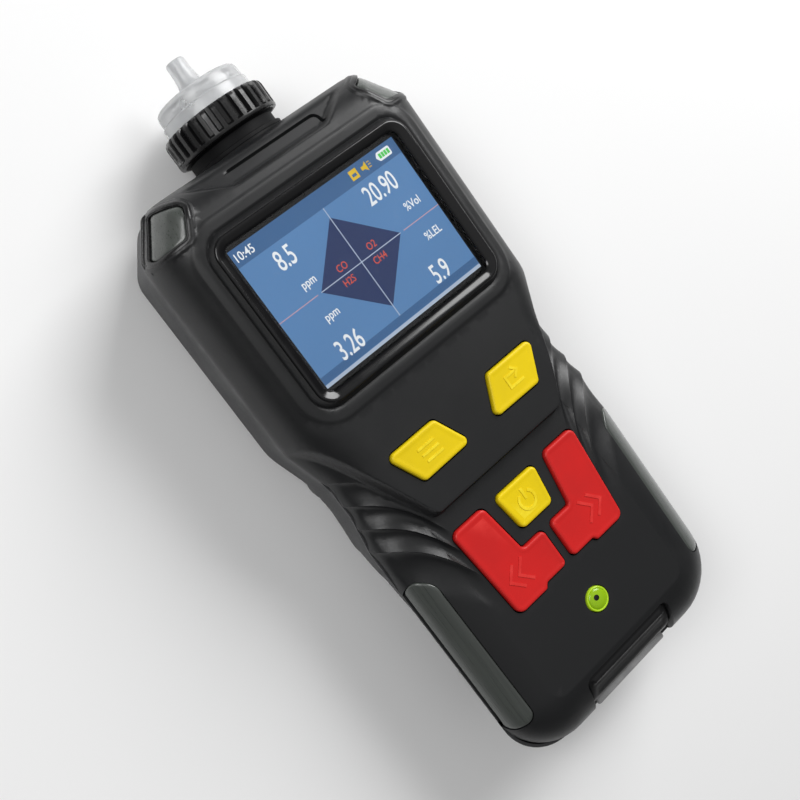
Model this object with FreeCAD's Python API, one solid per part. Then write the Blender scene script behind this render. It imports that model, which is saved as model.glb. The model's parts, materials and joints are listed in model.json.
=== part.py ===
import FreeCAD, Part
import math
import os

# Portable gas detector: a hand-held case with a colour screen, five keys, a status lamp,
# smoked alarm windows and a screwed-on clear filter cap on its pumped gas inlet.
#
# Frame, in millimetres: the detector lies on its back.  +X is its right-hand side, +Y points
# from the handle to the gas inlet, +Z comes out of the screen.  The origin is the middle of
# the bounding box, on the surface that the back rests on.

V = FreeCAD.Vector
X, Y, Z = V(1, 0, 0), V(0, 1, 0), V(0, 0, 1)

# ---------------------------------------------------------------- driving dimensions
# case, in plan
HALF_W = 38.5            # half width of the head
HALF_W_GRIP = 36.5       # half width of the handle
HALF_W_WAIST = 34.9      # half width of the waist
TOP_Y = 68.5             # inlet end of the case
BOTTOM_Y = -93.5         # handle end of the case
CORNER_CUT_X = 8.5       # chamfered top corners
CORNER_CUT_Y = 11.0
# case, in depth
PARTING_Z = 24.0         # where the two covers meet
FACE_Z = 33.2            # face of the handle
SHIELD_Z = 36.7          # raised face round the screen
RIM_Z = 38.8             # crest of the screen rim
RIM_HALF_W = 27.6        # half width of the rim at its crest
RIM_LESS_H = 6.0         # and how much less its half height is
GROOVES = 4              # finger grooves on each side of the grip
GROOVE_R = 4.2
WALL = 2.3
# screen: a 2.4 inch 4:3 display
LCD_W, LCD_H = 48.96, 36.72
LCD_Y = 32.0             # middle of the screen
LCD_Z = 36.0             # plane of the picture
GLASS_W, GLASS_H, GLASS_T = 52.0, 40.0, 1.3
GLASS_Z = LCD_Z + 0.3    # underside of the glass
# keys
KEY_GAP = 0.25
KEY_RISE = 1.0
KEY_TRAVEL = 0.8
KEY_FLANGE = 1.0         # how far a key's flange reaches under the cover
DOME_Z = 28.7            # top of the membrane's domes
KEY_FOOT_Z = DOME_Z + 0.1 + KEY_TRAVEL
# lamp
LAMP_Y = -69.0
LAMP_R = 3.2
# gas inlet
INLET_Z = 15.0           # height of its axis
NECK_R = 12.65
NECK_END_Y = 75.4
COLLAR_R, COLLAR_T = 13.3, 1.7
RING_R = 13.9
RING_Y0, RING_Y1 = 72.6, 79.8
CUP_R = 11.8
CUP_TOP_Y = 86.4
NOZZLE_R = 2.5
NOZZLE_BORE_R = 1.3
NOZZLE_TIP_Y = 94.4
FIT = 0.1                # radial clearance of the inlet's turning parts
# fasteners
SCREW_R, SCREW_HEAD_R = 1.25, 2.6
CASE_SCREWS = [(32.0, 50.0), (29.0, -8.0), (26.0, -80.0)]
# port cover
PORT_HALF_W = 14.8
PORT_EDGE_Y = -82.8
PORT_GAP = 0.2
PORT_DEPTH = 1.3         # thickness of the rubber cover
LIP_OUT = 0.9            # how far its pull lip stands out of the case
# electronics
BOARD_Z, BOARD_T = 22.4, 1.6
SENSOR_R, SENSOR_H, SENSOR_Z = 10.1, 15.6, 6.3
SENSOR_SPOTS = [(-11.2, 47.5), (11.2, 47.5), (-11.2, 26.0), (11.2, 26.0)]
GAS_PATH_Z = 4.1         # axis of the channel from the pump to the sensors
PUMP_X, PUMP_Y, PUMP_Z = -9.0, 1.0, 9.2     # motor's face on its axis
BUZZ_X, BUZZ_Y, BUZZ_Z = 9.0, -8.4, 7.5     # vibration motor's end on its axis
SOUNDER_X, SOUNDER_Y = 18.0, 5.0
CHANNEL_X = -16.0        # delivery hose, from the pump to the manifold


# ---------------------------------------------------------------- helpers
def both_sides(right):
    """A closed outline from the corners of its right-hand side, listed top to bottom."""
    left = [(-x, y, r) for x, y, r in reversed(right)]
    return right + left


def turn_sign(corners):
    """1 for an outline that runs anticlockwise, -1 for one that runs clockwise."""
    area = 0.0
    for i, (x, y, _) in enumerate(corners):
        nx, ny, _ = corners[(i + 1) % len(corners)]
        area += x * ny - nx * y
    return 1.0 if area > 0 else -1.0


def corner_frame(corners, i):
    """Unit vectors from a corner to its neighbours, their bisector and half their angle."""
    x, y, _ = corners[i]
    px, py, _ = corners[i - 1]
    nx, ny, _ = corners[(i + 1) % len(corners)]
    back = V(px - x, py - y, 0).normalize()
    ahead = V(nx - x, ny - y, 0).normalize()
    half = 0.5 * back.getAngle(ahead)
    bisector = (back + ahead).normalize()
    convex = (ahead.cross(back).z * turn_sign(corners)) > 0
    return back, ahead, bisector, half, convex


def inset(corners, d):
    """The same outline moved inwards by d, keeping its corners concentric."""
    moved = []
    for i, (x, y, r) in enumerate(corners):
        _, _, bisector, half, convex = corner_frame(corners, i)
        side = 1.0 if convex else -1.0
        shift = bisector * (side * d / math.sin(half))
        moved.append((x + shift.x, y + shift.y, max(r - side * d, 0.4)))
    return moved


def rounded_wire(corners, z=0.0):
    """A closed wire at height z, with each corner (x, y, r) rounded to its radius."""
    starts, middles, ends = [], [], []
    for i, (x, y, r) in enumerate(corners):
        back, ahead, bisector, half, _ = corner_frame(corners, i)
        here = V(x, y, z)
        reach = r / math.tan(half)
        starts.append(here + back * reach)
        ends.append(here + ahead * reach)
        middles.append(here + bisector * (r / math.sin(half) - r))
    edges = []
    for i in range(len(corners)):
        edges.append(Part.Arc(starts[i], middles[i], ends[i]).toShape())
        edges.append(Part.makeLine(ends[i], starts[(i + 1) % len(corners)]))
    return Part.Wire(edges)


def prism(corners, z0, z1):
    return Part.Face(rounded_wire(corners, z0)).extrude(V(0, 0, z1 - z0))


def loft(sections):
    """A solid through (corners, z) sections, straight from each one to the next."""
    return Part.makeLoft([rounded_wire(c, z) for c, z in sections], True, True)


def stepped(corners, stations):
    """A solid whose outline is inset by d at each height z of stations."""
    return loft([(inset(corners, d), z) for z, d in stations])


def box(x0, x1, y0, y1, z0, z1):
    return Part.makeBox(x1 - x0, y1 - y0, z1 - z0, V(x0, y0, z0))


def plate(half_w, half_h, r, z0, z1, x=0.0, y=0.0):
    """A rectangular plate with rounded corners, in plan."""
    corners = [(x + half_w, y + half_h, r), (x + half_w, y - half_h, r)]
    corners += [(x - half_w, y - half_h, r), (x - half_w, y + half_h, r)]
    return prism(corners, z0, z1)


def rod(r, start, axis, length):
    return Part.makeCylinder(r, length, start, axis)


def tube(r_out, r_in, start, axis, length):
    return rod(r_out, start, axis, length).cut(rod(r_in, start, axis, length))


def inlet_rod(r, y0, y1):
    return rod(r, V(0, y0, INLET_Z), Y, y1 - y0)


def mirrored(shape):
    return shape.mirror(V(0, 0, 0), X)


def mirror_corners(corners):
    return [(-x, y, r) for x, y, r in corners]


def fuse(shapes):
    whole = shapes[0]
    for shape in shapes[1:]:
        whole = whole.fuse(shape)
    return whole.removeSplitter()


def hose(points, radius, bore):
    """A hose along straight runs joined by tangent arcs."""
    bend = 4.0
    edges = []
    last = points[0]
    for i in range(1, len(points) - 1):
        here = points[i]
        back = (points[i - 1] - here).normalize()
        ahead = (points[i + 1] - here).normalize()
        half = 0.5 * back.getAngle(ahead)
        reach = bend / math.tan(half)
        middle = here + (back + ahead).normalize() * (bend / math.sin(half) - bend)
        edges.append(Part.makeLine(last, here + back * reach))
        edges.append(Part.Arc(here + back * reach, middle, here + ahead * reach).toShape())
        last = here + ahead * reach
    edges.append(Part.makeLine(last, points[-1]))
    path = Part.Wire(edges)
    along = (points[1] - points[0]).normalize()

    def swept(r):
        ring = Part.Wire([Part.makeCircle(r, points[0], along)])
        return path.makePipeShell([ring], True, False)

    return swept(radius).cut(swept(bore))


# ---------------------------------------------------------------- case outlines
def head_section(d, taper):
    """The head, inset by d, and the tongue below it, inset by taper."""
    cut_x = HALF_W - CORNER_CUT_X
    cut_y = TOP_Y - CORNER_CUT_Y
    return both_sides([
        (cut_x - 0.492 * d, TOP_Y - d, max(6.0 - d, 0.8)),
        (HALF_W - d, cut_y - 0.342 * d, max(8.0 - d, 0.8)),
        (HALF_W - d, 9.0, 16.0),
        (31.8 - taper, -3.5, 22.0),
        (21.6 - taper, -26.0 + taper, 3.0),
    ])


def outer_outline(bottom_corner_r):
    """The whole case in plan, at the parting line."""
    return both_sides([
        (HALF_W - CORNER_CUT_X, TOP_Y, 6.0),
        (HALF_W, TOP_Y - CORNER_CUT_Y, 8.0),
        (HALF_W, 6.0, 12.0),
        (HALF_W_WAIST, -6.0, 14.0),
        (HALF_W_WAIST, -15.0, 14.0),
        (HALF_W_GRIP, -25.0, 14.0),
        (HALF_W_GRIP, BOTTOM_Y, bottom_corner_r),
    ])


HANDLE = both_sides([
    (29.0, 14.0, 3.0),
    (35.3, 3.0, 6.0),
    (HALF_W_WAIST, -15.0, 14.0),
    (HALF_W_GRIP, -25.0, 14.0),
    (HALF_W_GRIP, BOTTOM_Y, 16.0),
])
HEAD_LEVELS = [(PARTING_Z, 0.0, 0.0), (28.0, 0.6, 0.3), (32.0, 2.8, 0.7), (35.0, 6.0, 1.2),
               (SHIELD_Z, 9.5, 2.2)]
HEAD_INNER = [(PARTING_Z - 1, 2.3, 2.1), (28.0, 2.9, 2.4), (31.3, 5.2, 2.8), (33.4, 8.6, 3.3),
              (SHIELD_Z - WALL, 12.0, 3.2)]
HANDLE_LEVELS = [(PARTING_Z, 0.0), (27.5, 0.9), (30.3, 3.4), (32.3, 7.5), (FACE_Z, 12.5)]


def handle_skin(depth):
    """The handle's outer surface moved inwards by depth, as a solid."""
    levels = [(z - depth * lean, d + depth * (1.0 - 0.6 * lean))
              for (z, d), lean in zip(HANDLE_LEVELS, (0.0, 0.15, 0.5, 0.9, 1.0))]
    levels[0] = (PARTING_Z - 1, levels[0][1])
    return stepped(HANDLE, levels)


def head_inner():
    return loft([(head_section(d, t), z) for z, d, t in HEAD_INNER])


# ---------------------------------------------------------------- keys, in plan
SOFT_KEY = [(-23.7, -7.0, 1.3), (-8.8, -7.0, 1.3), (-4.1, -16.7, 1.3), (-19.0, -16.9, 1.3)]
POWER_KEY = [(-6.7, -32.1, 1.3), (6.7, -32.1, 1.3), (5.2, -42.6, 1.5), (-5.2, -42.6, 1.5)]
ARROW_KEY = [
    (-20.9, -31.7, 1.6), (-10.5, -31.7, 1.6), (-8.3, -46.0, 1.2), (-1.3, -46.0, 1.3),
    (-1.3, -56.6, 1.3), (-8.3, -56.6, 0.8), (-9.3, -57.8, 0.8), (-18.7, -57.8, 2.0),
]
KEYS = {
    "key_left_soft": (SOFT_KEY, SHIELD_Z),
    "key_right_soft": (mirror_corners(SOFT_KEY), SHIELD_Z),
    "key_power": (POWER_KEY, FACE_Z),
    "key_left_arrow": (ARROW_KEY, FACE_Z),
    "key_right_arrow": (mirror_corners(ARROW_KEY), FACE_Z),
}
SWITCHES = {
    "key_left_soft": (-14.0, -12.0),
    "key_right_soft": (14.0, -12.0),
    "key_power": (0.0, -37.3),
    "key_left_arrow": (-14.2, -50.0),
    "key_right_arrow": (14.2, -50.0),
}


def key_cap(corners, face_z, name):
    """A cap that stands out of the cover, its flange below the cover and its stem."""
    under = face_z - WALL
    cap = prism(corners, under - 0.2, face_z + KEY_RISE)
    flange = prism(inset(corners, -KEY_FLANGE), under - 1.1, under - 0.1)
    x, y = SWITCHES[name]
    stem = rod(2.6, V(x, y, KEY_FOOT_Z), Z, under - 0.6 - KEY_FOOT_Z)
    return fuse([cap, flange, stem])


# ---------------------------------------------------------------- windows, in plan
SIDE_WINDOW = [(31.0, -37.5, 3.0), (36.2, -33.5, 2.5), (36.2, -80.5, 2.6), (30.2, -80.5, 2.6)]
CORNER_WINDOW = [(25.2, 64.6, 1.2), (31.2, 66.6, 1.2), (37.6, 57.6, 1.2), (29.4, 57.6, 1.5)]


def window_prism(corners):
    return prism(corners, PARTING_Z + 0.6, SHIELD_Z + 1)


# ---------------------------------------------------------------- front cover
def grip_groove(i):
    """One of the finger grooves that sweep from the waist up to the handle's face."""
    start = V(38.0, -5.0 - 7.3 * i, 32.0)
    end = V(19.5, -27.2 - 8.0 * i, 37.9)
    along = (end - start)
    return rod(GROOVE_R, start, along, along.Length)


def screen_section(half_w, r):
    """A rounded rectangle about the screen, RIM_LESS_H shorter than it is wide on each side."""
    half_h = half_w - RIM_LESS_H
    return both_sides([(half_w, LCD_Y + half_h, r), (half_w, LCD_Y - half_h, r)])


def front_outer():
    """The outside of the front cover as a solid: head, handle with its grooves, screen rim."""
    head = loft([(head_section(d, t), z) for z, d, t in HEAD_LEVELS])
    handle = stepped(HANDLE, HANDLE_LEVELS)
    for i in range(GROOVES):
        groove = grip_groove(i)
        handle = handle.cut(groove).cut(mirrored(groove))
    rim = loft([
        (screen_section(RIM_HALF_W + 3.0, 6.5), SHIELD_Z - 0.8),
        (screen_section(RIM_HALF_W + 1.0, 4.8), RIM_Z - 0.4),
        (screen_section(RIM_HALF_W, 3.9), RIM_Z),
    ])
    return head.fuse(handle).fuse(rim)


def inlet_scoop():
    """The sunken shelf in front of the gas inlet."""
    plan = prism(both_sides([(25.5, 71.0, 0.5), (12.5, 60.8, 3.0)]), PARTING_Z + 1, RIM_Z + 3)
    section = [(60.0, 34.6), (66.5, 31.6), (72.0, 27.0), (72.0, 42.0), (60.0, 42.0)]
    points = [V(-40, y, z) for y, z in section]
    side = Part.makePolygon(points + points[:1])
    return plan.common(Part.Face(side).extrude(V(80, 0, 0)))


def port_prism(gap):
    return box(-PORT_HALF_W - gap, PORT_HALF_W + gap, BOTTOM_Y - 3, PORT_EDGE_Y + gap,
               PARTING_Z + 0.6 - gap, FACE_Z + 2)


def front_boss(x, y):
    return rod(3.4, V(x, y, PARTING_Z), Z, 6.2)


def make_front_cover():
    outer = front_outer().cut(inlet_scoop())
    cavity = head_inner().cut(box(-27, 27, 57.2, 70, 29.5, 40))
    cover = outer.cut(cavity).cut(handle_skin(WALL))
    # pocket behind the display and the two-step opening of the screen
    cover = cover.cut(plate(29.4, 22.4, 1.5, 30.0, 35.3, y=LCD_Y))
    cover = cover.cut(plate(25.1, 19.1, 1.0, 30.0, RIM_Z + 1, y=LCD_Y))
    cover = cover.cut(plate(GLASS_W / 2 + FIT, GLASS_H / 2 + FIT, 2.6, GLASS_Z, RIM_Z + 1, y=LCD_Y))
    for name in KEYS:
        corners, face_z = KEYS[name]
        cover = cover.cut(prism(inset(corners, -KEY_GAP), face_z - WALL - 1, face_z + 3))
    cover = cover.cut(rod(LAMP_R, V(0, LAMP_Y, 28), Z, 8))
    for corners in (SIDE_WINDOW, CORNER_WINDOW):
        cover = cover.cut(window_prism(corners))
        cover = cover.cut(window_prism(mirror_corners(corners)))
    cover = cover.cut(port_prism(PORT_GAP).cut(handle_skin(PORT_DEPTH)))
    cover = cover.cut(box(-5.2, 5.2, BOTTOM_Y - 1, BOTTOM_Y + 8, 25.6, 29.6))
    cover = cover.cut(inlet_rod(NECK_R + 0.05, 60, 72))
    for x, y in CASE_SCREWS:
        for side in (1, -1):
            boss = front_boss(side * x, y).common(outer)
            cover = cover.fuse(boss).cut(rod(2.0, V(side * x, y, PARTING_Z - 1), Z, 6.2))
    return cover.removeSplitter()


# ---------------------------------------------------------------- rear cover
REAR_LEVELS = [(PARTING_Z, 0.0), (9.0, 0.5), (4.2, 2.2), (1.3, 5.4), (0.0, 9.6)]
REAR_INNER = [(PARTING_Z + 1, 2.3), (9.0, 2.8), (5.4, 4.0), (3.4, 6.6), (WALL, 10.4)]


def make_rear_cover():
    outline = outer_outline(13.0)
    cover = stepped(outline, REAR_LEVELS).cut(stepped(outline, REAR_INNER))
    for x, y in CASE_SCREWS:
        for side in (1, -1):
            centre = V(side * x, y, 0)
            boss = rod(3.3, centre, Z, PARTING_Z).common(stepped(outline, REAR_LEVELS))
            cover = cover.fuse(boss)
    for x, y in CASE_SCREWS:
        for side in (1, -1):
            cover = cover.cut(rod(SCREW_R + 0.2, V(side * x, y, -1), Z, PARTING_Z + 2))
            cover = cover.cut(rod(SCREW_HEAD_R + 0.2, V(side * x, y, -1), Z, 4.0))
    cover = cover.cut(inlet_rod(NECK_R + 0.05, 60, 72))
    cover = cover.cut(gasket_ring())
    for hole in back_holes():
        cover = cover.cut(hole)
    return cover.removeSplitter()


def back_holes():
    """The seven sounder holes and the gas exhaust hole."""
    spots = [(SOUNDER_X, SOUNDER_Y)]
    for i in range(6):
        angle = math.radians(60 * i)
        spots.append((SOUNDER_X + 3.2 * math.cos(angle), SOUNDER_Y + 3.2 * math.sin(angle)))
    holes = [rod(0.8, V(x, y, -1), Z, 6) for x, y in spots]
    return holes + [rod(1.1, V(0, 12.4, -1), Z, 6)]


def gasket_ring():
    outline = outer_outline(13.0)
    ring = prism(inset(outline, 0.8), PARTING_Z - 1.2, PARTING_Z)
    ring = ring.cut(prism(inset(outline, 1.7), PARTING_Z - 1.2, PARTING_Z))
    return ring.cut(inlet_rod(NECK_R + 0.05, 60, 72))


# ---------------------------------------------------------------- screen
def make_screen_glass():
    return plate(GLASS_W / 2, GLASS_H / 2, 2.5, GLASS_Z, GLASS_Z + GLASS_T, y=LCD_Y)


def make_lcd_panel():
    return plate(LCD_W / 2, LCD_H / 2, 0.3, LCD_Z - 0.7, LCD_Z, y=LCD_Y)


def make_lcd_frame():
    frame = plate(29.0, 21.6, 1.0, 31.4, 35.2, y=LCD_Y)
    return frame.cut(plate(27.5, 20.2, 0.6, 32.2, 34.6, y=LCD_Y)).fuse(
        plate(24.9, 18.9, 0.4, 35.2, LCD_Z - 0.7, y=LCD_Y))


def make_lcd_backlight():
    return plate(27.3, 20.0, 0.5, 32.3, 34.5, y=LCD_Y)


# ---------------------------------------------------------------- inlet
def make_inlet_neck():
    """The tube that carries the cap, its collar and the spigot behind it."""
    neck = inlet_rod(NECK_R, 64.0, NECK_END_Y)
    neck = neck.fuse(inlet_rod(COLLAR_R, TOP_Y + 0.15, TOP_Y + 0.15 + COLLAR_T))
    neck = neck.fuse(inlet_rod(2.2, 59.5, 64.0))
    neck = neck.cut(inlet_rod(9.6, 70.0, NECK_END_Y))
    return neck.cut(inlet_rod(1.2, 59.0, 71.0))


def make_neck_seal():
    return Part.makeTorus(8.2, 0.7, V(0, 70.7, INLET_Z), Y)


def make_filter_disc():
    return inlet_rod(9.9, NECK_END_Y + 0.3, NECK_END_Y + 2.3)


def make_filter_support():
    disc = inlet_rod(9.4, 73.6, NECK_END_Y)
    for i in range(6):
        angle = math.radians(60 * i)
        centre = V(5.4 * math.cos(angle), 73.0, INLET_Z + 5.4 * math.sin(angle))
        disc = disc.cut(rod(1.5, centre, Y, 3))
    return disc.cut(inlet_rod(1.5, 73, NECK_END_Y + 1))


def make_filter_cap():
    """The clear cap: flange, stepped cup and hose nozzle in one moulding."""
    profile = [
        (12.45, NECK_END_Y), (12.45, NECK_END_Y + 1.4), (CUP_R, NECK_END_Y + 1.4),
        (CUP_R, 82.6), (CUP_R - 0.45, 82.9), (CUP_R - 0.45, CUP_TOP_Y - 0.8),
        (CUP_R - 1.2, CUP_TOP_Y), (NOZZLE_R + 1.4, CUP_TOP_Y + 0.3), (NOZZLE_R, CUP_TOP_Y + 1.0),
        (NOZZLE_R, NOZZLE_TIP_Y), (NOZZLE_BORE_R, NOZZLE_TIP_Y), (NOZZLE_BORE_R, CUP_TOP_Y - 1.4),
        (CUP_R - 2.4, CUP_TOP_Y - 1.9), (CUP_R - 1.9, CUP_TOP_Y - 3.4), (10.3, NECK_END_Y),
    ]
    points = [V(r, y, INLET_Z) for r, y in profile]
    face = Part.Face(Part.makePolygon(points + points[:1]))
    return face.revolve(V(0, 0, INLET_Z), Y, 360)


def make_ring_nut():
    """The knurled ring: its grooves are open at the top and stop above its lower rim."""
    shoulder = NECK_END_Y + 1.4
    profile = [
        (NECK_R + FIT, RING_Y0), (RING_R - 0.5, RING_Y0), (RING_R, RING_Y0 + 0.5),
        (RING_R, RING_Y1 - 1.2), (RING_R - 1.0, RING_Y1), (CUP_R + FIT, RING_Y1),
        (CUP_R + FIT, shoulder + 0.02), (NECK_R + FIT, shoulder + 0.02),
    ]
    points = [V(r, y, INLET_Z) for r, y in profile]
    ring = Part.Face(Part.makePolygon(points + points[:1])).revolve(V(0, 0, INLET_Z), Y, 360)
    count = 32
    for i in range(count):
        angle = 360.0 * i / count
        tooth = box(-0.6, 0.6, RING_Y0 + 1.9, RING_Y1 + 1, RING_R - 0.75, RING_R + 2)
        tooth.rotate(V(0, 0, 0), Y, angle)
        tooth.translate(V(0, 0, INLET_Z))
        ring = ring.cut(tooth)
    return ring


# ---------------------------------------------------------------- port cover
def make_port_cover():
    plug = front_outer().common(port_prism(0.0)).cut(handle_skin(PORT_DEPTH - 0.05))
    lip = box(-10.5, 10.5, BOTTOM_Y - LIP_OUT, BOTTOM_Y + 0.8, PARTING_Z + 0.7, PARTING_Z + 1.9)
    return plug.fuse(lip).removeSplitter()


def make_charge_socket():
    shell = box(-4.5, 4.5, BOTTOM_Y + 4.9, -82.0, 26.1, 29.3)
    return shell.cut(box(-4.1, 4.1, BOTTOM_Y + 4.0, -84.0, 26.5, 28.9))


# ---------------------------------------------------------------- electronics
def make_main_board():
    board = box(-25, 25, -70, 12, BOARD_Z, BOARD_Z + BOARD_T)
    board = board.fuse(box(-18, 18, -86, -70, BOARD_Z, BOARD_Z + BOARD_T))
    return board.removeSplitter()


def make_key_switches():
    half, z0 = 2.6, BOARD_Z + BOARD_T
    bodies = []
    for x, y in SWITCHES.values():
        base = box(x - half, x + half, y - half, y + half, z0, z0 + 2.2)
        bodies.append(base.fuse(rod(1.5, V(x, y, z0 + 2.2), Z, 0.6)))
    return Part.makeCompound(bodies)


def make_keypad_membrane():
    sheet = plate(24.0, 27.0, 3.0, 27.2, 28.2, y=-33.5)
    for x, y in SWITCHES.values():
        sheet = sheet.fuse(rod(2.2, V(x, y, 28.2), Z, DOME_Z - 28.2))
    return sheet.removeSplitter()


def make_sensor_board():
    return box(-24, 24, 14.5, 59, BOARD_Z, BOARD_Z + 1.2)


def make_sensor(x, y):
    can = rod(SENSOR_R, V(x, y, SENSOR_Z), Z, SENSOR_H)
    pins = [rod(0.7, V(x + dx, y + dy, SENSOR_Z + SENSOR_H), Z, 0.5)
            for dx, dy in ((6, 0), (-3, 5.2), (-3, -5.2))]
    mouth = rod(4.0, V(x, y, SENSOR_Z), Z, 0.8)
    return fuse([can.cut(mouth)] + pins)


def make_gas_manifold():
    """The plate under the sensors, with a gas channel that passes all four."""
    block = plate(22.5, 21.6, 3.0, 2.4, 5.6, y=36.4)
    (x0, y1), (x1, _), (_, y0), _ = SENSOR_SPOTS
    for x, y in SENSOR_SPOTS:
        block = block.cut(rod(4.0, V(x, y, 3.8), Z, 3))
    for y in (y0, y1):
        block = block.cut(box(x0, x1, y - 1.2, y + 1.2, 3.8, 5.0))
    block = block.cut(box(x0 - 1, x0 + 1, y0, y1, 3.8, 5.0))
    return block.cut(rod(0.8, V(CHANNEL_X, 14.0, GAS_PATH_Z), Y, 13))


def make_sensor_seals():
    seals = []
    for x, y in SENSOR_SPOTS:
        seals.append(tube(6.0, 4.2, V(x, y, 5.6), Z, 0.7))
    return Part.makeCompound(seals)


def make_pump_head():
    head = box(-24, -9, -7, 9, 2.4, 15.0)
    head = head.cut(rod(5.0, V(PUMP_X - 6.0, PUMP_Y, PUMP_Z), X, 7.0))
    return head.cut(rod(0.8, V(CHANNEL_X, 5.5, GAS_PATH_Z), Y, 4))


def make_pump_motor():
    motor = rod(5.6, V(PUMP_X, PUMP_Y, PUMP_Z), X, 13.0)
    return motor.cut(rod(0.83, V(PUMP_X - 1.0, PUMP_Y, PUMP_Z), X, 3.0))


def make_pump_eccentric():
    shaft = rod(0.75, V(PUMP_X - 5.4, PUMP_Y, PUMP_Z), X, 7.2)
    cam = rod(3.0, V(PUMP_X - 5.2, PUMP_Y + 1.0, PUMP_Z), X, 3.4)
    return shaft.fuse(cam).removeSplitter()


def make_suction_hose():
    y_turn = 61.2
    points = [V(-2.4, y_turn, INLET_Z), V(-25.6, y_turn, INLET_Z), V(-25.6, 13.8, INLET_Z),
              V(-20.0, 13.8, 11.0), V(-20.0, 9.0, 11.0)]
    return hose(points, 1.6, 0.8)


def make_inlet_elbow():
    """The elbow that the suction hose pushes onto, behind the neck."""
    block = box(-2.4, 2.6, 58.9, 63.9, INLET_Z - 2.6, INLET_Z + 2.6)
    return block.cut(inlet_rod(2.25, 59.5, 64.0))


def make_delivery_hose():
    return tube(1.5, 0.8, V(CHANNEL_X, 9.0, GAS_PATH_Z), Y, 5.3)


def make_battery_pack():
    return plate(23.5, 28.0, 2.0, 3.2, 18.5, y=-42.5)


def make_battery_pads():
    pads = [box(-20, 20, y - 4, y + 4, WALL, 3.2) for y in (-62.0, -23.0)]
    return Part.makeCompound(pads)


def make_sounder():
    case = rod(7.2, V(SOUNDER_X, SOUNDER_Y, WALL), Z, 5.4)
    return case.cut(rod(4.4, V(SOUNDER_X, SOUNDER_Y, WALL), Z, 1.2))


def make_vibration_motor():
    return rod(3.0, V(BUZZ_X, BUZZ_Y, BUZZ_Z), X, 9.0)


def make_vibration_weight():
    """Half a cylinder on the motor's shaft."""
    shaft = rod(0.5, V(BUZZ_X + 9.1, BUZZ_Y, BUZZ_Z), X, 4.6)
    half = rod(2.7, V(BUZZ_X + 9.9, BUZZ_Y, BUZZ_Z), X, 3.6).cut(box(18, 24, -12, BUZZ_Y, 3, 12))
    return shaft.fuse(half).removeSplitter()


def make_motor_clip():
    clip = box(10.0, 17.0, -12.2, -4.6, WALL, 8.0)
    return clip.cut(make_vibration_motor())


def make_status_led():
    return rod(1.5, V(0, LAMP_Y, BOARD_Z + BOARD_T), Z, 5.4)


def make_status_lens():
    stem = rod(LAMP_R - 0.05, V(0, LAMP_Y, 30.2), Z, FACE_Z - 30.2)
    bulge = 7.0
    dome = Part.makeSphere(bulge, V(0, LAMP_Y, FACE_Z + 0.85 - bulge))
    dome = dome.common(rod(LAMP_R - 0.05, V(0, LAMP_Y, FACE_Z), Z, 2))
    return stem.fuse(dome).removeSplitter()


def make_alarm_leds():
    leds = []
    for side in (1, -1):
        for x, y, z in ((28.6, 60.2, 24.6), (30.5, -50.0, 24.6), (30.5, -66.0, 24.6)):
            leds.append(box(side * x - 1.4, side * x + 1.4, y - 1.4, y + 1.4, z, z + 1.6))
    return Part.makeCompound(leds)


def make_led_strips():
    strips = []
    for side in (1, -1):
        for x, y0, y1 in ((28.6, 57.5, 62.5), (30.5, -74.0, -42.0)):
            strips.append(box(side * x - 2.0, side * x + 2.0, y0, y1, PARTING_Z - 0.2, 24.6))
    return Part.makeCompound(strips)


# ---------------------------------------------------------------- fasteners
def make_case_screws():
    screws = []
    for x, y in CASE_SCREWS:
        for side in (1, -1):
            shank = rod(SCREW_R, V(side * x, y, 2.0), Z, 26.0)
            head = rod(SCREW_HEAD_R, V(side * x, y, 1.2), Z, 1.8)
            head = head.cut(Part.makeBox(3.4, 0.7, 0.8, V(side * x - 1.7, y - 0.35, 1.2)))
            head = head.cut(Part.makeBox(0.7, 3.4, 0.8, V(side * x - 0.35, y - 1.7, 1.2)))
            screws.append(shank.fuse(head).removeSplitter())
    return Part.makeCompound(screws)


def make_thread_inserts():
    inserts = []
    for x, y in CASE_SCREWS:
        for side in (1, -1):
            inserts.append(tube(2.0, SCREW_R, V(side * x, y, PARTING_Z), Z, 5.0))
    return Part.makeCompound(inserts)


# ---------------------------------------------------------------- windows
def make_window(corners, inner):
    """A lens that fills its opening flush, hollowed by the solid inner."""
    return front_outer().common(window_prism(corners)).cut(inner)


def head_window_inner():
    levels = [(PARTING_Z - 1, 1.8, 1.8), (28.0, 2.4, 2.1), (31.6, 4.6, 2.5), (34.0, 7.9, 3.0),
              (SHIELD_Z - 1.8, 11.4, 4.0)]
    return loft([(head_section(d, t), z) for z, d, t in levels])


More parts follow.
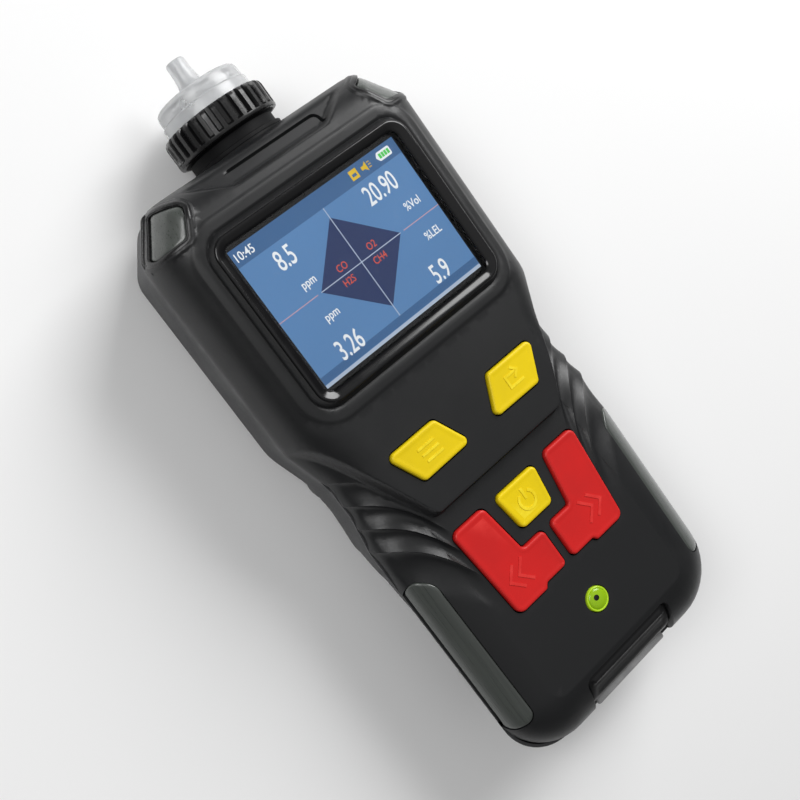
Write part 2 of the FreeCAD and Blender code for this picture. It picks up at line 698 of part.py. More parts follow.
# ---------------------------------------------------------------- assembly
def build():
    parts = {
        "front_cover": make_front_cover(),
        "rear_cover": make_rear_cover(),
        "case_gasket": gasket_ring(),
        "case_screws": make_case_screws(),
        "thread_inserts": make_thread_inserts(),
        "screen_glass": make_screen_glass(),
        "lcd_panel": make_lcd_panel(),
        "lcd_frame": make_lcd_frame(),
        "lcd_backlight": make_lcd_backlight(),
        "status_lens": make_status_lens(),
        "status_led": make_status_led(),
        "alarm_leds": make_alarm_leds(),
        "led_strips": make_led_strips(),
        "keypad_membrane": make_keypad_membrane(),
        "key_switches": make_key_switches(),
        "main_board": make_main_board(),
        "sensor_board": make_sensor_board(),
        "gas_manifold": make_gas_manifold(),
        "sensor_seals": make_sensor_seals(),
        "pump_head": make_pump_head(),
        "pump_motor": make_pump_motor(),
        "pump_eccentric": make_pump_eccentric(),
        "suction_hose": make_suction_hose(),
        "inlet_elbow": make_inlet_elbow(),
        "delivery_hose": make_delivery_hose(),
        "battery_pack": make_battery_pack(),
        "battery_pads": make_battery_pads(),
        "sounder": make_sounder(),
        "vibration_motor": make_vibration_motor(),
        "vibration_weight": make_vibration_weight(),
        "motor_clip": make_motor_clip(),
        "charge_socket": make_charge_socket(),
        "port_cover": make_port_cover(),
        "inlet_neck": make_inlet_neck(),
        "neck_seal": make_neck_seal(),
        "filter_support": make_filter_support(),
        "filter_disc": make_filter_disc(),
        "filter_cap": make_filter_cap(),
        "ring_nut": make_ring_nut(),
    }
    parts["side_window_right"] = make_window(SIDE_WINDOW, handle_skin(1.8))
    parts["side_window_left"] = mirrored(parts["side_window_right"])
    parts["corner_window_right"] = make_window(CORNER_WINDOW, head_window_inner())
    parts["corner_window_left"] = mirrored(parts["corner_window_right"])
    for i, (x, y) in enumerate(SENSOR_SPOTS):
        parts["gas_sensor_%d" % (i + 1)] = make_sensor(x, y)
    for name, (corners, face_z) in KEYS.items():
        parts[name] = key_cap(corners, face_z, name)
    return parts


os.makedirs("parts", exist_ok=True)
for name, shape in build().items():
    shape.exportStep("parts/%s.step" % name)
    size = shape.BoundBox
    print("%-20s solids %d valid %s vol %9.1f  x %7.2f..%7.2f y %7.2f..%7.2f z %6.2f..%6.2f" % (
        name, len(shape.Solids), shape.isValid(), shape.Volume, size.XMin, size.XMax,
        size.YMin, size.YMax, size.ZMin, size.ZMax))
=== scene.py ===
import json
import math

import bmesh
import bpy
import numpy as np
from mathutils import Matrix, Vector
from mathutils.geometry import delaunay_2d_cdt
from mathutils.kdtree import KDTree


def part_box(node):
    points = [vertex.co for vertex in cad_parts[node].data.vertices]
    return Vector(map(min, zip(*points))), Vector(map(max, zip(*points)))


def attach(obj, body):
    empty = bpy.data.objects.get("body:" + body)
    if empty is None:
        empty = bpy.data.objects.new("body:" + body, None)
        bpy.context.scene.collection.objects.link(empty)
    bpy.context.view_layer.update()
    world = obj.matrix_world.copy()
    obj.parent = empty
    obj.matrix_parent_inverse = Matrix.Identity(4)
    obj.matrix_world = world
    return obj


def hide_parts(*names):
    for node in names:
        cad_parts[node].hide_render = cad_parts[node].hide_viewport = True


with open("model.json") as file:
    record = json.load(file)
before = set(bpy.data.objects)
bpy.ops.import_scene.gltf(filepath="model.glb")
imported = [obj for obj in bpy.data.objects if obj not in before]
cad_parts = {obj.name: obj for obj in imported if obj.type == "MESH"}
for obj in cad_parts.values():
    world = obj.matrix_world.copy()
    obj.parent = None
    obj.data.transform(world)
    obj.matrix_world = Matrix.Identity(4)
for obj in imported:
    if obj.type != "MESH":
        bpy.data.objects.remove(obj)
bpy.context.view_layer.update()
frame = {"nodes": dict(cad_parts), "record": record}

# Portable gas detector, lying on its back: +X its right-hand side, +Y towards the gas inlet,
# +Z out of the screen. Shapes are worked out in millimetres and placed in metres.
MM = 0.001


def node_box(name):
    """Lowest and highest corner of a CAD node, in millimetres."""
    low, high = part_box(name)
    return np.array(low) / MM, np.array(high) / MM


# ---- driving dimensions
COVER_LOW, COVER_HIGH = node_box("front_cover")
HALF_W = COVER_HIGH[0]
HALF_W_GRIP = HALF_W - 2.0
HALF_W_WAIST = HALF_W - 3.6
TOP_Y, BOTTOM_Y = COVER_HIGH[1], COVER_LOW[1]
PARTING_Z = node_box("rear_cover")[1][2]
RIM_Z = COVER_HIGH[2]
FACE_Z = 33.2            # face of the handle
SHIELD_Z = 36.7          # raised face round the screen
WALL = 2.3
EDGE_CLEAR = 0.02        # feature lines stop this far short of an outline
HEAD_REACH = 11.0        # how far in from the edge the head's shoulder is round
HANDLE_REACH = 18.5
CREASE = 12.5            # where the handle's side meets its flat face
REAR_REACH = 9.6
REAR_WALL_Z = 9.0        # the rear cover's side is nearly straight down to here

GLASS_LOW, GLASS_HIGH = node_box("screen_glass")
SCREEN_Y = 0.5 * (GLASS_LOW[1] + GLASS_HIGH[1])
GLASS_HALF = np.array([GLASS_HIGH[0], GLASS_HIGH[1] - SCREEN_Y])
LCD_LOW, LCD_HIGH = node_box("lcd_panel")
LCD_HALF = np.array([LCD_HIGH[0], LCD_HIGH[1] - SCREEN_Y])
LCD_Z = LCD_HIGH[2]
BEZEL_W = 1.5            # from the glass to the crest of the rim

INLET_Z = 0.5 * sum(v[2] for v in node_box("ring_nut"))
LAMP_Y = 0.5 * sum(v[1] for v in node_box("status_lens"))
TURNS = 96               # points round a turned piece
SCREEN_CORNER_R = 2.6

# Outlines in plan: (x, y, corner radius) down the right-hand side, mirrored to the left.
FRONT = [
    (30.0, TOP_Y, 6.0), (HALF_W, TOP_Y - 11.0, 8.0), (HALF_W, 6.0, 12.0),
    (HALF_W_WAIST, -6.0, 14.0), (HALF_W_WAIST, -15.0, 14.0), (HALF_W_GRIP, -25.0, 14.0),
]
FRONT_CORNER_R, REAR_CORNER_R = 16.0, 13.0
SHIELD = [(60.0, 100.0, 1.0), (60.0, 9.0, 1.0), (38.5, 9.0, 16.0), (31.8, -3.5, 22.0), (21.6, -26.0, 3.0)]
SCOOP = [(33.5, 79.0, 1.0), (28.6, 69.2, 5.0), (13.5, 60.8, 5.0)]
GROOVE = [(14.3, 64.9, 1.6), (14.3, 57.0, 0.5)]
PORT = [(15.0, -82.8, 2.0), (15.0, -99.0, 1.0)]
SIDE_WINDOW = [(30.2, -38.6, 5.0), (36.42, -33.2, 2.0), (36.42, -81.0, 2.4), (29.8, -81.0, 3.0)]
CORNER_WINDOW = [(25.2, 64.4, 1.2), (30.9, 67.0, 1.0), (37.9, 57.6, 1.0), (29.4, 57.6, 1.6)]
SOFT_KEY = [(23.7, -7.0, 1.4), (8.8, -7.0, 1.4), (4.1, -16.7, 1.4), (19.0, -16.9, 1.4)]
POWER_KEY = [(6.7, -32.1, 1.4), (5.2, -42.6, 1.6)]
ARROW_KEY = [
    (20.9, -31.7, 1.8), (10.5, -31.7, 1.8), (8.3, -46.0, 1.2), (1.3, -46.0, 1.4),
    (1.3, -56.6, 1.4), (8.3, -56.6, 0.8), (9.3, -57.8, 0.8), (18.7, -57.8, 2.2),
]
KEY_GAP = 0.4
LAMP_R = 3.2


# ---- outlines
def both_sides(right):
    return right + [(-x, y, r) for x, y, r in reversed(right)]


def mirror(corners):
    return [(-x, y, r) for x, y, r in corners]


def corner_frame(corners, i):
    """Unit vectors to both neighbours, their bisector, half their angle, and if it is convex."""
    here = Vector(corners[i][:2])
    back = (Vector(corners[i - 1][:2]) - here).normalized()
    ahead = (Vector(corners[(i + 1) % len(corners)][:2]) - here).normalized()
    half = 0.5 * back.angle(ahead)
    area = sum(a[0] * b[1] - b[0] * a[1] for a, b in zip(corners, corners[1:] + corners[:1]))
    turn = ahead.x * back.y - ahead.y * back.x
    return here, back, ahead, (back + ahead).normalized(), half, turn * area > 0


def inset(corners, d):
    """The outline moved inwards by d, its corners still concentric."""
    moved = []
    for i, (_, _, r) in enumerate(corners):
        here, _, _, bisector, half, convex = corner_frame(corners, i)
        side = 1.0 if convex else -1.0
        at = here + bisector * (side * d / math.sin(half))
        moved.append((at.x, at.y, max(r - side * d, 0.15)))
    return moved


def rounded(corners, arc=9.0, step=0.0):
    """Points round a closed outline: arc degrees apart on its corners, step apart between them."""
    points = []
    for i, (_, _, r) in enumerate(corners):
        here, back, ahead, bisector, half, _ = corner_frame(corners, i)
        reach = r / math.tan(half)
        centre = here + bisector * (r / math.sin(half))
        first, last = here + back * reach, here + ahead * reach
        if points and step:
            gap = first - points[-1]
            count = int(gap.length / step)
            points += [points[-1] + gap * (k / (count + 1)) for k in range(1, count + 1)]
        sweep = math.pi - 2 * half
        turns = max(2, math.ceil(math.degrees(sweep) / arc))
        a, b = first - centre, last - centre
        for k in range(turns + 1):
            w = k / turns
            mix = a * math.sin((1 - w) * sweep) + b * math.sin(w * sweep)
            points.append(centre + mix / math.sin(sweep))
    if step:
        gap = points[0] - points[-1]
        count = int(gap.length / step)
        points += [points[-1] + gap * (k / (count + 1)) for k in range(1, count + 1)]
    return np.array([tuple(p) for p in points])


def case_outline(corner_r):
    return both_sides(FRONT + [(HALF_W_GRIP, BOTTOM_Y, corner_r)])


# ---- plan fields
def signed_distance(xy, loop):
    """Distance of each point from a closed loop, positive inside."""
    out = np.empty(len(xy))
    a, b = loop, np.roll(loop, -1, axis=0)
    run = b - a
    length2 = np.maximum((run ** 2).sum(1), 1e-12)
    for start in range(0, len(xy), 4000):
        p = xy[start:start + 4000, None, :]
        t = np.clip(((p - a) * run).sum(2) / length2, 0, 1)
        gap = p - (a + t[..., None] * run)
        near = np.sqrt((gap ** 2).sum(2).min(1))
        above = (a[:, 1] > p[..., 1]) != (b[:, 1] > p[..., 1])
        rise = np.where(np.abs(run[:, 1]) < 1e-12, 1e-12, run[:, 1])
        cross = p[..., 0] < a[:, 0] + (p[..., 1] - a[:, 1]) * run[:, 0] / rise
        inside = (above & cross).sum(1) % 2 == 1
        out[start:start + 4000] = np.where(inside, near, -near)
    return out


def ramp(v, low, high):
    t = np.clip((v - low) / (high - low), 0, 1)
    return t * t * (3 - 2 * t)


def bump(v, centre, width):
    return np.exp(-((v - centre) / width) ** 2)


def quarter(t):
    """Height of a quarter ellipse, from 0 at its edge to 1 at its top."""
    t = np.clip(t, 0, 1)
    return np.sqrt(1 - (1 - t) ** 2)


def screen_distance(xy):
    """Distance out from the edge of the glass, negative over the glass."""
    q = np.abs(xy - [0, SCREEN_Y]) - (GLASS_HALF - SCREEN_CORNER_R)
    outside = np.sqrt((np.maximum(q, 0) ** 2).sum(1))
    return outside + np.minimum(q.max(1), 0) - SCREEN_CORNER_R


FRONT_LOOP = rounded(case_outline(FRONT_CORNER_R))
REAR_LOOP = rounded(case_outline(REAR_CORNER_R))
SHIELD_LOOP = rounded(both_sides(SHIELD))
SCOOP_LOOP = rounded(both_sides(SCOOP))
GROOVE_LOOP = rounded(both_sides(GROOVE))
PORT_LOOP = rounded(both_sides(PORT))
SIDE_LOOP = rounded(SIDE_WINDOW)
CORNER_LOOP = rounded(CORNER_WINDOW)


# ---- front cover surface
def front_height(xy):
    """The front cover's smooth surface, without the grooves and pockets cut along its normal."""
    folded = np.column_stack([np.abs(xy[:, 0]), xy[:, 1]])
    edge = signed_distance(folded, FRONT_LOOP)
    handle_rise = (FACE_Z - PARTING_Z) / quarter(CREASE / HANDLE_REACH)
    handle = PARTING_Z + handle_rise * quarter(np.minimum(edge, CREASE) / HANDLE_REACH)
    head = PARTING_Z + (SHIELD_Z - PARTING_Z) * quarter(edge / HEAD_REACH)
    shield = signed_distance(folded, SHIELD_LOOP)
    z = handle + ramp(shield, -0.3, 1.3) * (head - handle)
    # broad raised frame round the screen, then its narrow rim
    out = screen_distance(xy)
    z = z + 0.35 * ramp(shield, 0, 3) * (1 - ramp(out, 5.9, 7.1))
    rim = np.interp(out, [-1.0, 0.0, 0.7, BEZEL_W, 2.1, 2.9, 3.6],
                    [37.7, 37.9, RIM_Z - 0.35, RIM_Z, RIM_Z - 0.45, 37.2, 35.5])
    z = np.maximum(z, np.where(out < 3.6, rim, 0))
    z = z - 0.3 * bump(out, 3.2, 0.35) * ramp(shield, 0, 3)
    # sunken shelf in front of the inlet
    scoop = signed_distance(folded, SCOOP_LOOP)
    floor = np.interp(xy[:, 1], [58.0, 60.0, 66.5, 72.0], [34.2, 33.5, 30.9, 27.2])
    z = z + ramp(scoop, -0.1, 1.25) * (np.minimum(z, floor) - z)
    return z


RIB_PITCH = 6.8
RIB_DEPTH = 1.15


def rib_crest(x):
    """y of the uppermost finger rib's crest."""
    t = (36.0 - x) / 15.0
    return -4.3 - 9.0 * t - 9.2 * t ** 3


def rib_phase(x, y):
    """0 on the uppermost finger rib, 1 on the next one down, and so on."""
    return (rib_crest(x) - y) / RIB_PITCH


def front_cut(xy):
    """How far the surface moves along its normal: ribs, pockets, frames and the engraved line."""
    folded = np.column_stack([np.abs(xy[:, 0]), xy[:, 1]])
    x, y = folded[:, 0], folded[:, 1]
    shield = signed_distance(folded, SHIELD_LOOP)
    phase = rib_phase(x, y)
    below = np.where(phase > 3, np.minimum((phase - 3) / 1.9, 1.0), phase - np.floor(phase))
    dip = np.sin(math.pi * below ** 0.7)
    area = ramp(x, 19.8, 24.0) * (1 - ramp(shield, -1.2, -0.2)) * ramp(phase, -0.02, 0.0)
    area = area * (0.6 + 0.4 * ramp(phase, 0.8, 1.2))
    flank = signed_distance(folded, FRONT_LOOP)
    cut = -RIB_DEPTH * dip * area * (0.4 + 0.6 * ramp(flank, 0.0, 2.5))
    # frame of each corner window, and the pockets of all the windows
    corner = signed_distance(folded, CORNER_LOOP)
    cut = cut + 0.4 * ramp(corner, -2.1, -1.5)
    cut = cut - 1.0 * (corner > -0.02)
    side = signed_distance(folded, SIDE_LOOP)
    cut = cut - 1.0 * (side > -0.02)
    # port recess and the line engraved in the shelf
    port = signed_distance(folded, PORT_LOOP)
    cut = cut - 1.5 * ramp(port, -0.3, 0.02)
    groove = np.abs(signed_distance(folded, GROOVE_LOOP))
    kept = ramp(y, 62.1, 62.6) * ramp(xy[:, 0], -12.0, -11.4)
    return cut - 0.9 * (1 - ramp(groove, 0.14, 0.42)) * kept


def along_normal(xy, height, offset):
    """3-D points of a plan surface, moved by offset along its normal."""
    eps = 0.01
    z = height(xy)
    dx = (height(xy + [eps, 0]) - height(xy - [eps, 0])) / (2 * eps)
    dy = (height(xy + [0, eps]) - height(xy - [0, eps])) / (2 * eps)
    normal = np.column_stack([-dx, -dy, np.ones(len(z))])
    normal /= np.linalg.norm(normal, axis=1)[:, None]
    return np.column_stack([xy, z]) + normal * np.reshape(offset, (-1, 1))


# ---- mesh making
def plan_mesh(outline, holes, lines, spacing):
    """Triangles inside a closed outline, with edges along every hole and line."""
    chains = [(outline, True)] + [(h, True) for h in holes] + list(lines)
    points, edges = [], []
    for chain, closed in chains:
        start = len(points)
        points += [tuple(p) for p in chain]
        edges += [(start + i, start + i + 1) for i in range(len(chain) - 1)]
        if closed:
            edges.append((len(points) - 1, start))
    tree = KDTree(len(points))
    for i, (x, y) in enumerate(points):
        tree.insert((x, y, 0), i)
    tree.balance()
    low, high = outline.min(0), outline.max(0)
    rows = int((high[1] - low[1]) / (spacing * 0.87)) + 1
    cols = int((high[0] - low[0]) / spacing) + 2
    grid = [(low[0] + spacing * (c + 0.5 * (r % 2)), low[1] + spacing * 0.87 * r)
            for r in range(rows) for c in range(cols)]
    points += [g for g in grid if tree.find((g[0], g[1], 0))[2] > max(0.3, 0.4 * spacing)]
    found = delaunay_2d_cdt([Vector(p) for p in points], edges, [], 0, 1e-5, False)
    xy = np.array([tuple(v) for v in found[0]])
    tris = np.array([f for f in found[2] if len(f) == 3])
    middle = xy[tris].mean(1)
    keep = signed_distance(middle, outline) > 0
    for hole in holes:
        keep &= signed_distance(middle, hole) < 0
    tris = tris[keep]
    used = np.unique(tris)
    renumber = np.zeros(len(xy), int)
    renumber[used] = np.arange(len(used))
    return xy[used], renumber[tris]


def make_outward(obj):
    mesh = bmesh.new()
    mesh.from_mesh(obj.data)
    bmesh.ops.recalc_face_normals(mesh, faces=mesh.faces)
    mesh.to_mesh(obj.data)
    mesh.free()


def new_object(name, verts_mm, faces, material, body="case", slot=None, sharp=32.0):
    """A closed piece with its normals outwards, riding on a body."""
    mesh = bpy.data.meshes.new(name)
    mesh.from_pydata((np.asarray(verts_mm) * MM).tolist(), [], [tuple(f) for f in faces])
    mesh.validate()
    mesh.update()
    mesh.materials.append(material)
    mesh.shade_smooth()
    mesh.set_sharp_from_angle(angle=math.radians(sharp))
    obj = bpy.data.objects.new(name, mesh)
    bpy.context.scene.collection.objects.link(obj)
    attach(obj, body)
    make_outward(obj)
    return obj


def closed_faces(tris, count):
    """Faces of the solid between a surface and its copy, whose points start at count."""
    faces = [tuple(t) for t in tris] + [(c + count, b + count, a + count) for a, b, c in tris]
    directed = {(int(a), int(b)) for t in tris for a, b in ((t[0], t[1]), (t[1], t[2]), (t[2], t[0]))}
    for a, b in directed:
        if (b, a) not in directed:
            faces.append((b, a, a + count, b + count))
    return faces


def clipped(loop, outline):
    """The stretches of a closed loop that lie clear inside an outline."""
    inside = signed_distance(loop, outline) > EDGE_CLEAR
    if inside.all():
        return [(loop, True)]
    start = int(np.argmin(inside))
    loop, inside = np.roll(loop, -start, axis=0), np.roll(inside, -start)
    chains, run = [], []
    for point, kept in zip(loop, inside):
        if kept:
            run.append(point)
        elif run:
            chains.append(run)
            run = []
    if run:
        chains.append(run)
    return [(np.array(c), False) for c in chains if len(c) > 1]


def loop_mesh(name, loops, material, closed_profile=False, **where):
    """A skin over loops of equally many 3-D points; its ends are capped, or it closes on itself."""
    count = len(loops[0])
    verts = np.concatenate(loops)
    pairs = list(zip(range(len(loops) - 1), range(1, len(loops))))
    if closed_profile:
        pairs.append((len(loops) - 1, 0))
    faces = []
    for low, high in pairs:
        for i in range(count):
            j = (i + 1) % count
            faces.append((low * count + i, low * count + j, high * count + j, high * count + i))
    if not closed_profile:
        faces.append(tuple(range(count))[::-1])
        faces.append(tuple((len(loops) - 1) * count + i for i in range(count)))
    return new_object(name, verts, faces, material, **where)


def level(points, z):
    return np.column_stack([points, np.full(len(points), z)])


def outline_solid(name, corners, profile, material, **where):
    """A solid whose outline is inset by d at height z, for each (d, z) of profile."""
    loops = [level(rounded(inset(corners, d)), z) for d, z in profile]
    return loop_mesh(name, loops, material, **where)


def turned(name, profile, material, **where):
    """A solid turned about the inlet's axis from a closed profile of (radius, y)."""
    angles = np.linspace(0, 2 * math.pi, TURNS, endpoint=False)
    loops = [np.column_stack([r * np.cos(angles), np.full(TURNS, y), INLET_Z + r * np.sin(angles)])
             for r, y in profile]
    return loop_mesh(name, loops, material, closed_profile=True, **where)


# ---- materials
M = {}


class Finish:
    """A Principled material with helpers for procedural detail, in object space."""

    def __init__(self, name, **sockets):
        self.material = M[name] = bpy.data.materials.new(name)
        self.material.use_nodes = True
        self.tree = self.material.node_tree
        self.shader = self.tree.nodes["Principled BSDF"]
        for key, value in sockets.items():
            self.shader.inputs[key.replace("_", " ")].default_value = value
        self.place = self.tree.nodes.new("ShaderNodeTexCoord").outputs["Object"]

    def node(self, kind, *wires, **values):
        """A node of this kind, with its inputs wired to (source, input) pairs or given values."""
        made = self.tree.nodes.new("ShaderNode" + kind)
        for key, value in values.items():
            made.inputs[key.replace("_", " ")].default_value = value
        for source, key in wires:
            self.tree.links.new(source, made.inputs[key])
        return made

    def stretched(self, scale):
        return self.node("Mapping", (self.place, "Vector"), Scale=scale).outputs["Vector"]

    def noise(self, size_mm, detail, place=None):
        node = self.node("TexNoise", (place or self.place, "Vector"), Scale=1.0 / (size_mm * MM),
                         Detail=detail, Roughness=0.55)
        return node.outputs["Fac"]

    def edges(self):
        """Near 1 on worn outer edges, 0.5 on flat faces."""
        return self.node("NewGeometry").outputs["Pointiness"]

    def spread(self, source, low, high, out_low, out_high):
        node = self.node("MapRange", (source, "Value"), From_Min=low, From_Max=high,
                         To_Min=out_low, To_Max=out_high)
        return node.outputs["Result"]

    def math(self, kind, a, b):
        node = self.tree.nodes.new("ShaderNodeMath")
        node.operation = kind
        for socket, value in zip(node.inputs, (a, b)):
            if isinstance(value, (int, float)):
                socket.default_value = value
            else:
                self.tree.links.new(value, socket)
        return node.outputs["Value"]

    def mix(self, factor, a, b):
        node = self.tree.nodes.new("ShaderNodeMix")
        node.data_type = "RGBA"
        self.tree.links.new(factor, node.inputs["Factor"])
        for key, value in (("A", a), ("B", b)):
            socket = [s for s in node.inputs if s.name == key and s.type == "RGBA"][0]
            if isinstance(value, tuple):
                socket.default_value = value
            else:
                self.tree.links.new(value, socket)
        return [s for s in node.outputs if s.type == "RGBA"][0]

    def put(self, key, source):
        self.tree.links.new(source, self.shader.inputs[key])

    def bump(self, *layers):
        """Stacks (height, depth in mm) layers onto the shader's normal."""
        previous = None
        for height, depth_mm in layers:
            node = self.node("Bump", (height, "Height"), Strength=1.0, Distance=depth_mm * MM)
            if previous:
                self.tree.links.new(previous, node.inputs["Normal"])
            previous = node.outputs["Normal"]
        self.put("Normal", previous)


def rgb(r, g, b):
    return (r, g, b, 1.0)


def grey(light):
    return (light, light, light, 1.0)


def moulded(name, colour, worn, roughness=0.5, grain_mm=0.35, depth_mm=0.012, **sockets):
    """Moulded plastic: spark-eroded grain, uneven sheen, and lighter polished edges."""
    f = Finish(name, **sockets)
    cloud = f.noise(14.0, 4.0)
    fine = f.noise(grain_mm, 2.0)
    edge = f.spread(f.edges(), 0.515, 0.60, 0.0, 1.0)
    patch = f.math("MULTIPLY", edge, f.spread(f.noise(2.5, 4.0), 0.35, 0.65, 0.3, 1.0))
    tone = f.mix(f.spread(cloud, 0.3, 0.7, 0.0, 1.0), colour, tuple(0.86 * c for c in colour[:3]) + (1.0,))
    f.put("Base Color", f.mix(patch, tone, worn))
    rough = f.math("ADD", f.spread(cloud, 0.3, 0.7, roughness - 0.05, roughness + 0.06),
                   f.spread(fine, 0.3, 0.7, -0.04, 0.04))
    f.put("Roughness", f.math("SUBTRACT", rough, f.math("MULTIPLY", patch, 0.12)))
    f.bump((fine, depth_mm), (f.noise(6.0, 2.0), 0.01))


def smooth(name, colour, roughness, scratch=0.004, **sockets):
    """A polished or turned surface with faint handling marks."""
    f = Finish(name, Base_Color=colour, **sockets)
    cloud = f.noise(7.0, 5.0)
    f.put("Roughness", f.spread(cloud, 0.3, 0.7, roughness * 0.8, roughness * 1.25))
    f.bump((f.noise(0.5, 3.0), scratch))


def brushed(name, colour, roughness, along=(1.0, 0.04, 1.0), depth_mm=0.012, **sockets):
    """A surface with fine straight streaks."""
    f = Finish(name, **sockets)
    streak = f.noise(0.35, 3.0, place=f.stretched(along))
    wide = f.noise(1.6, 2.0, place=f.stretched(along))
    dark = tuple(0.7 * c for c in colour[:3]) + (1.0,)
    f.put("Base Color", f.mix(f.spread(wide, 0.3, 0.7, 0.0, 1.0), dark, colour))
    f.put("Roughness", f.spread(streak, 0.3, 0.7, roughness - 0.06, roughness + 0.1))
    f.bump((streak, depth_mm))


def glowing(name, colour):
    """A lit part of the screen's picture, with the faint grid of its dots."""
    f = Finish(name, Base_Color=grey(0.0), Roughness=0.4, Specular_IOR_Level=0.2)
    dot = 0.153 * MM
    wave = []
    for axis in ("X", "Y"):
        node = f.node("TexWave", (f.place, "Vector"), Scale=2 * math.pi / (20 * dot))
        node.bands_direction = axis
        wave.append(f.spread(node.outputs["Fac"], 0.0, 1.0, 0.93, 1.0))
    grid = f.math("MULTIPLY", wave[0], wave[1])
    glow = f.math("MULTIPLY", grid, f.spread(f.noise(30.0, 1.0), 0.3, 0.7, 0.96, 1.04))
    shaded = f.mix(glow, grey(0.0), colour)
    f.put("Emission Color", shaded)
    f.shader.inputs["Emission Strength"].default_value = 1.0
    return f.material


def clear(name, tint, roughness, ior=1.5, haze=0.0, share=1.0):
    """Clear glass or plastic, with faint smears; share of it lets light straight through."""
    f = Finish(name, Base_Color=tint, Transmission_Weight=share, IOR=ior)
    smear = f.noise(9.0, 5.0)
    f.put("Roughness", f.spread(smear, 0.35, 0.7, roughness, roughness + 0.05 + haze))


moulded("case_black", rgb(0.0088, 0.0092, 0.010), rgb(0.014, 0.014, 0.015), 0.4,
        Specular_IOR_Level=0.45)
moulded("case_rear", rgb(0.03, 0.031, 0.033), rgb(0.06, 0.06, 0.063), 0.52)
smooth("gloss_black", rgb(0.004, 0.004, 0.0045), 0.14, 0.0008)
moulded("seal_rubber", grey(0.02), grey(0.035), 0.75)
brushed("screw_steel", rgb(0.5, 0.5, 0.51), 0.3, Metallic=1.0)
smooth("brass", rgb(0.75, 0.55, 0.25), 0.25, Metallic=1.0)
clear("screen_glass", rgb(0.98, 0.99, 1.0), 0.0, 1.25, -0.046)
glowing("lcd_picture", rgb(0.105, 0.235, 0.46))
brushed("lcd_metal", rgb(0.6, 0.6, 0.62), 0.35, Metallic=1.0)
moulded("white_plastic", rgb(0.78, 0.78, 0.76), rgb(0.85, 0.85, 0.84), 0.5)
smooth("lime_lens", rgb(0.24, 0.42, 0.004), 0.2, Emission_Color=rgb(0.3, 0.55, 0.0),
       Emission_Strength=0.12)
smooth("lime_rim", rgb(0.4, 0.62, 0.02), 0.25, Emission_Color=rgb(0.4, 0.6, 0.0),
       Emission_Strength=0.12)
clear("clear_plastic", rgb(0.8, 0.81, 0.82), 0.16, 1.42, 0.1, 0.62)
smooth("board_green", rgb(0.02, 0.2, 0.08), 0.3)
moulded("black_plastic", grey(0.03), grey(0.05), 0.5)
moulded("sensor_white", rgb(0.75, 0.75, 0.73), grey(0.8), 0.5)
brushed("motor_steel", rgb(0.62, 0.62, 0.64), 0.28, Metallic=1.0)
smooth("hose_silicone", rgb(0.7, 0.72, 0.72), 0.4, Transmission_Weight=0.4)
smooth("battery_wrap", rgb(0.02, 0.1, 0.3), 0.25)
moulded("port_rubber", rgb(0.004, 0.004, 0.0045), rgb(0.014, 0.014, 0.015), 0.4,
        grain_mm=0.25, Specular_IOR_Level=0.3)
moulded("port_pull", rgb(0.26, 0.26, 0.262), grey(0.34), 0.35, grain_mm=0.25)
# neck_black is darker than the other blacks: painted shade cast on the neck by the ring
moulded("neck_black", rgb(0.003, 0.003, 0.0035), grey(0.008), 0.6,
        Specular_IOR_Level=0.15)
moulded("filter_white", rgb(0.82, 0.82, 0.80), rgb(0.86, 0.86, 0.85), 0.8,
        grain_mm=0.2, depth_mm=0.05)
moulded("ring_black", rgb(0.006, 0.006, 0.0065), grey(0.03), 0.3,
        Specular_IOR_Level=0.5)
brushed("smoked_window", rgb(0.072, 0.08, 0.073), 0.3, along=(1.0, 0.02, 1.0),
        depth_mm=0.008, Coat_Weight=0.5, Coat_Roughness=0.15)
moulded("key_yellow", rgb(0.83, 0.61, 0.001), rgb(0.92, 0.74, 0.03), 0.42,
        grain_mm=0.5, depth_mm=0.006, Specular_IOR_Level=0.3)
moulded("key_red", rgb(0.62, 0.014, 0.013), rgb(0.72, 0.04, 0.035), 0.42,
        grain_mm=0.5, depth_mm=0.006, Specular_IOR_Level=0.3)


def finish_cad_nodes():
    """Every CAD node takes the material of its slot in the record."""
    for subpart in frame["record"]["subparts"]:
        obj = frame["nodes"][subpart["node"]]
        obj.data.materials.clear()
        obj.data.materials.append(M[subpart["material_slot"]])


# ---- case
KEY_OUTLINES = {
    "key_left_soft": mirror(SOFT_KEY), "key_right_soft": SOFT_KEY,
    "key_power": both_sides(POWER_KEY),
    "key_left_arrow": mirror(ARROW_KEY), "key_right_arrow": ARROW_KEY,
}


def lamp_ring(r, count=40):
    angles = np.linspace(0, 2 * math.pi, count, endpoint=False)
    return np.column_stack([r * np.cos(angles), LAMP_Y + r * np.sin(angles)])


def screen_corners(out):
    half = GLASS_HALF + out
    r = max(SCREEN_CORNER_R + out, 0.3)
    return both_sides([(half[0], SCREEN_Y + half[1], r), (half[0], SCREEN_Y - half[1], r)])


def feature_lines(loops, outline):
    lines = []
    for loop in loops:
        lines += clipped(loop, outline)
    return lines


def insets(corners, distances, arc=9.0, step=1.3):
    return [rounded(inset(corners, d), arc, step) for d in distances]


def rib_lines():
    """Chains along each finger rib's crest and the foot just below it."""
    chains = []
    for k in range(4):
        for shift in (-0.5, -0.3, -0.15, -0.05, 0.0, 0.03, 0.08, 0.15, 0.25, 0.37):
            x = np.linspace(37.5, 19.6, 34)
            y = rib_crest(x) - RIB_PITCH * (k + shift)
            chains += [np.column_stack([x, y]), np.column_stack([-x, y])]
    return chains


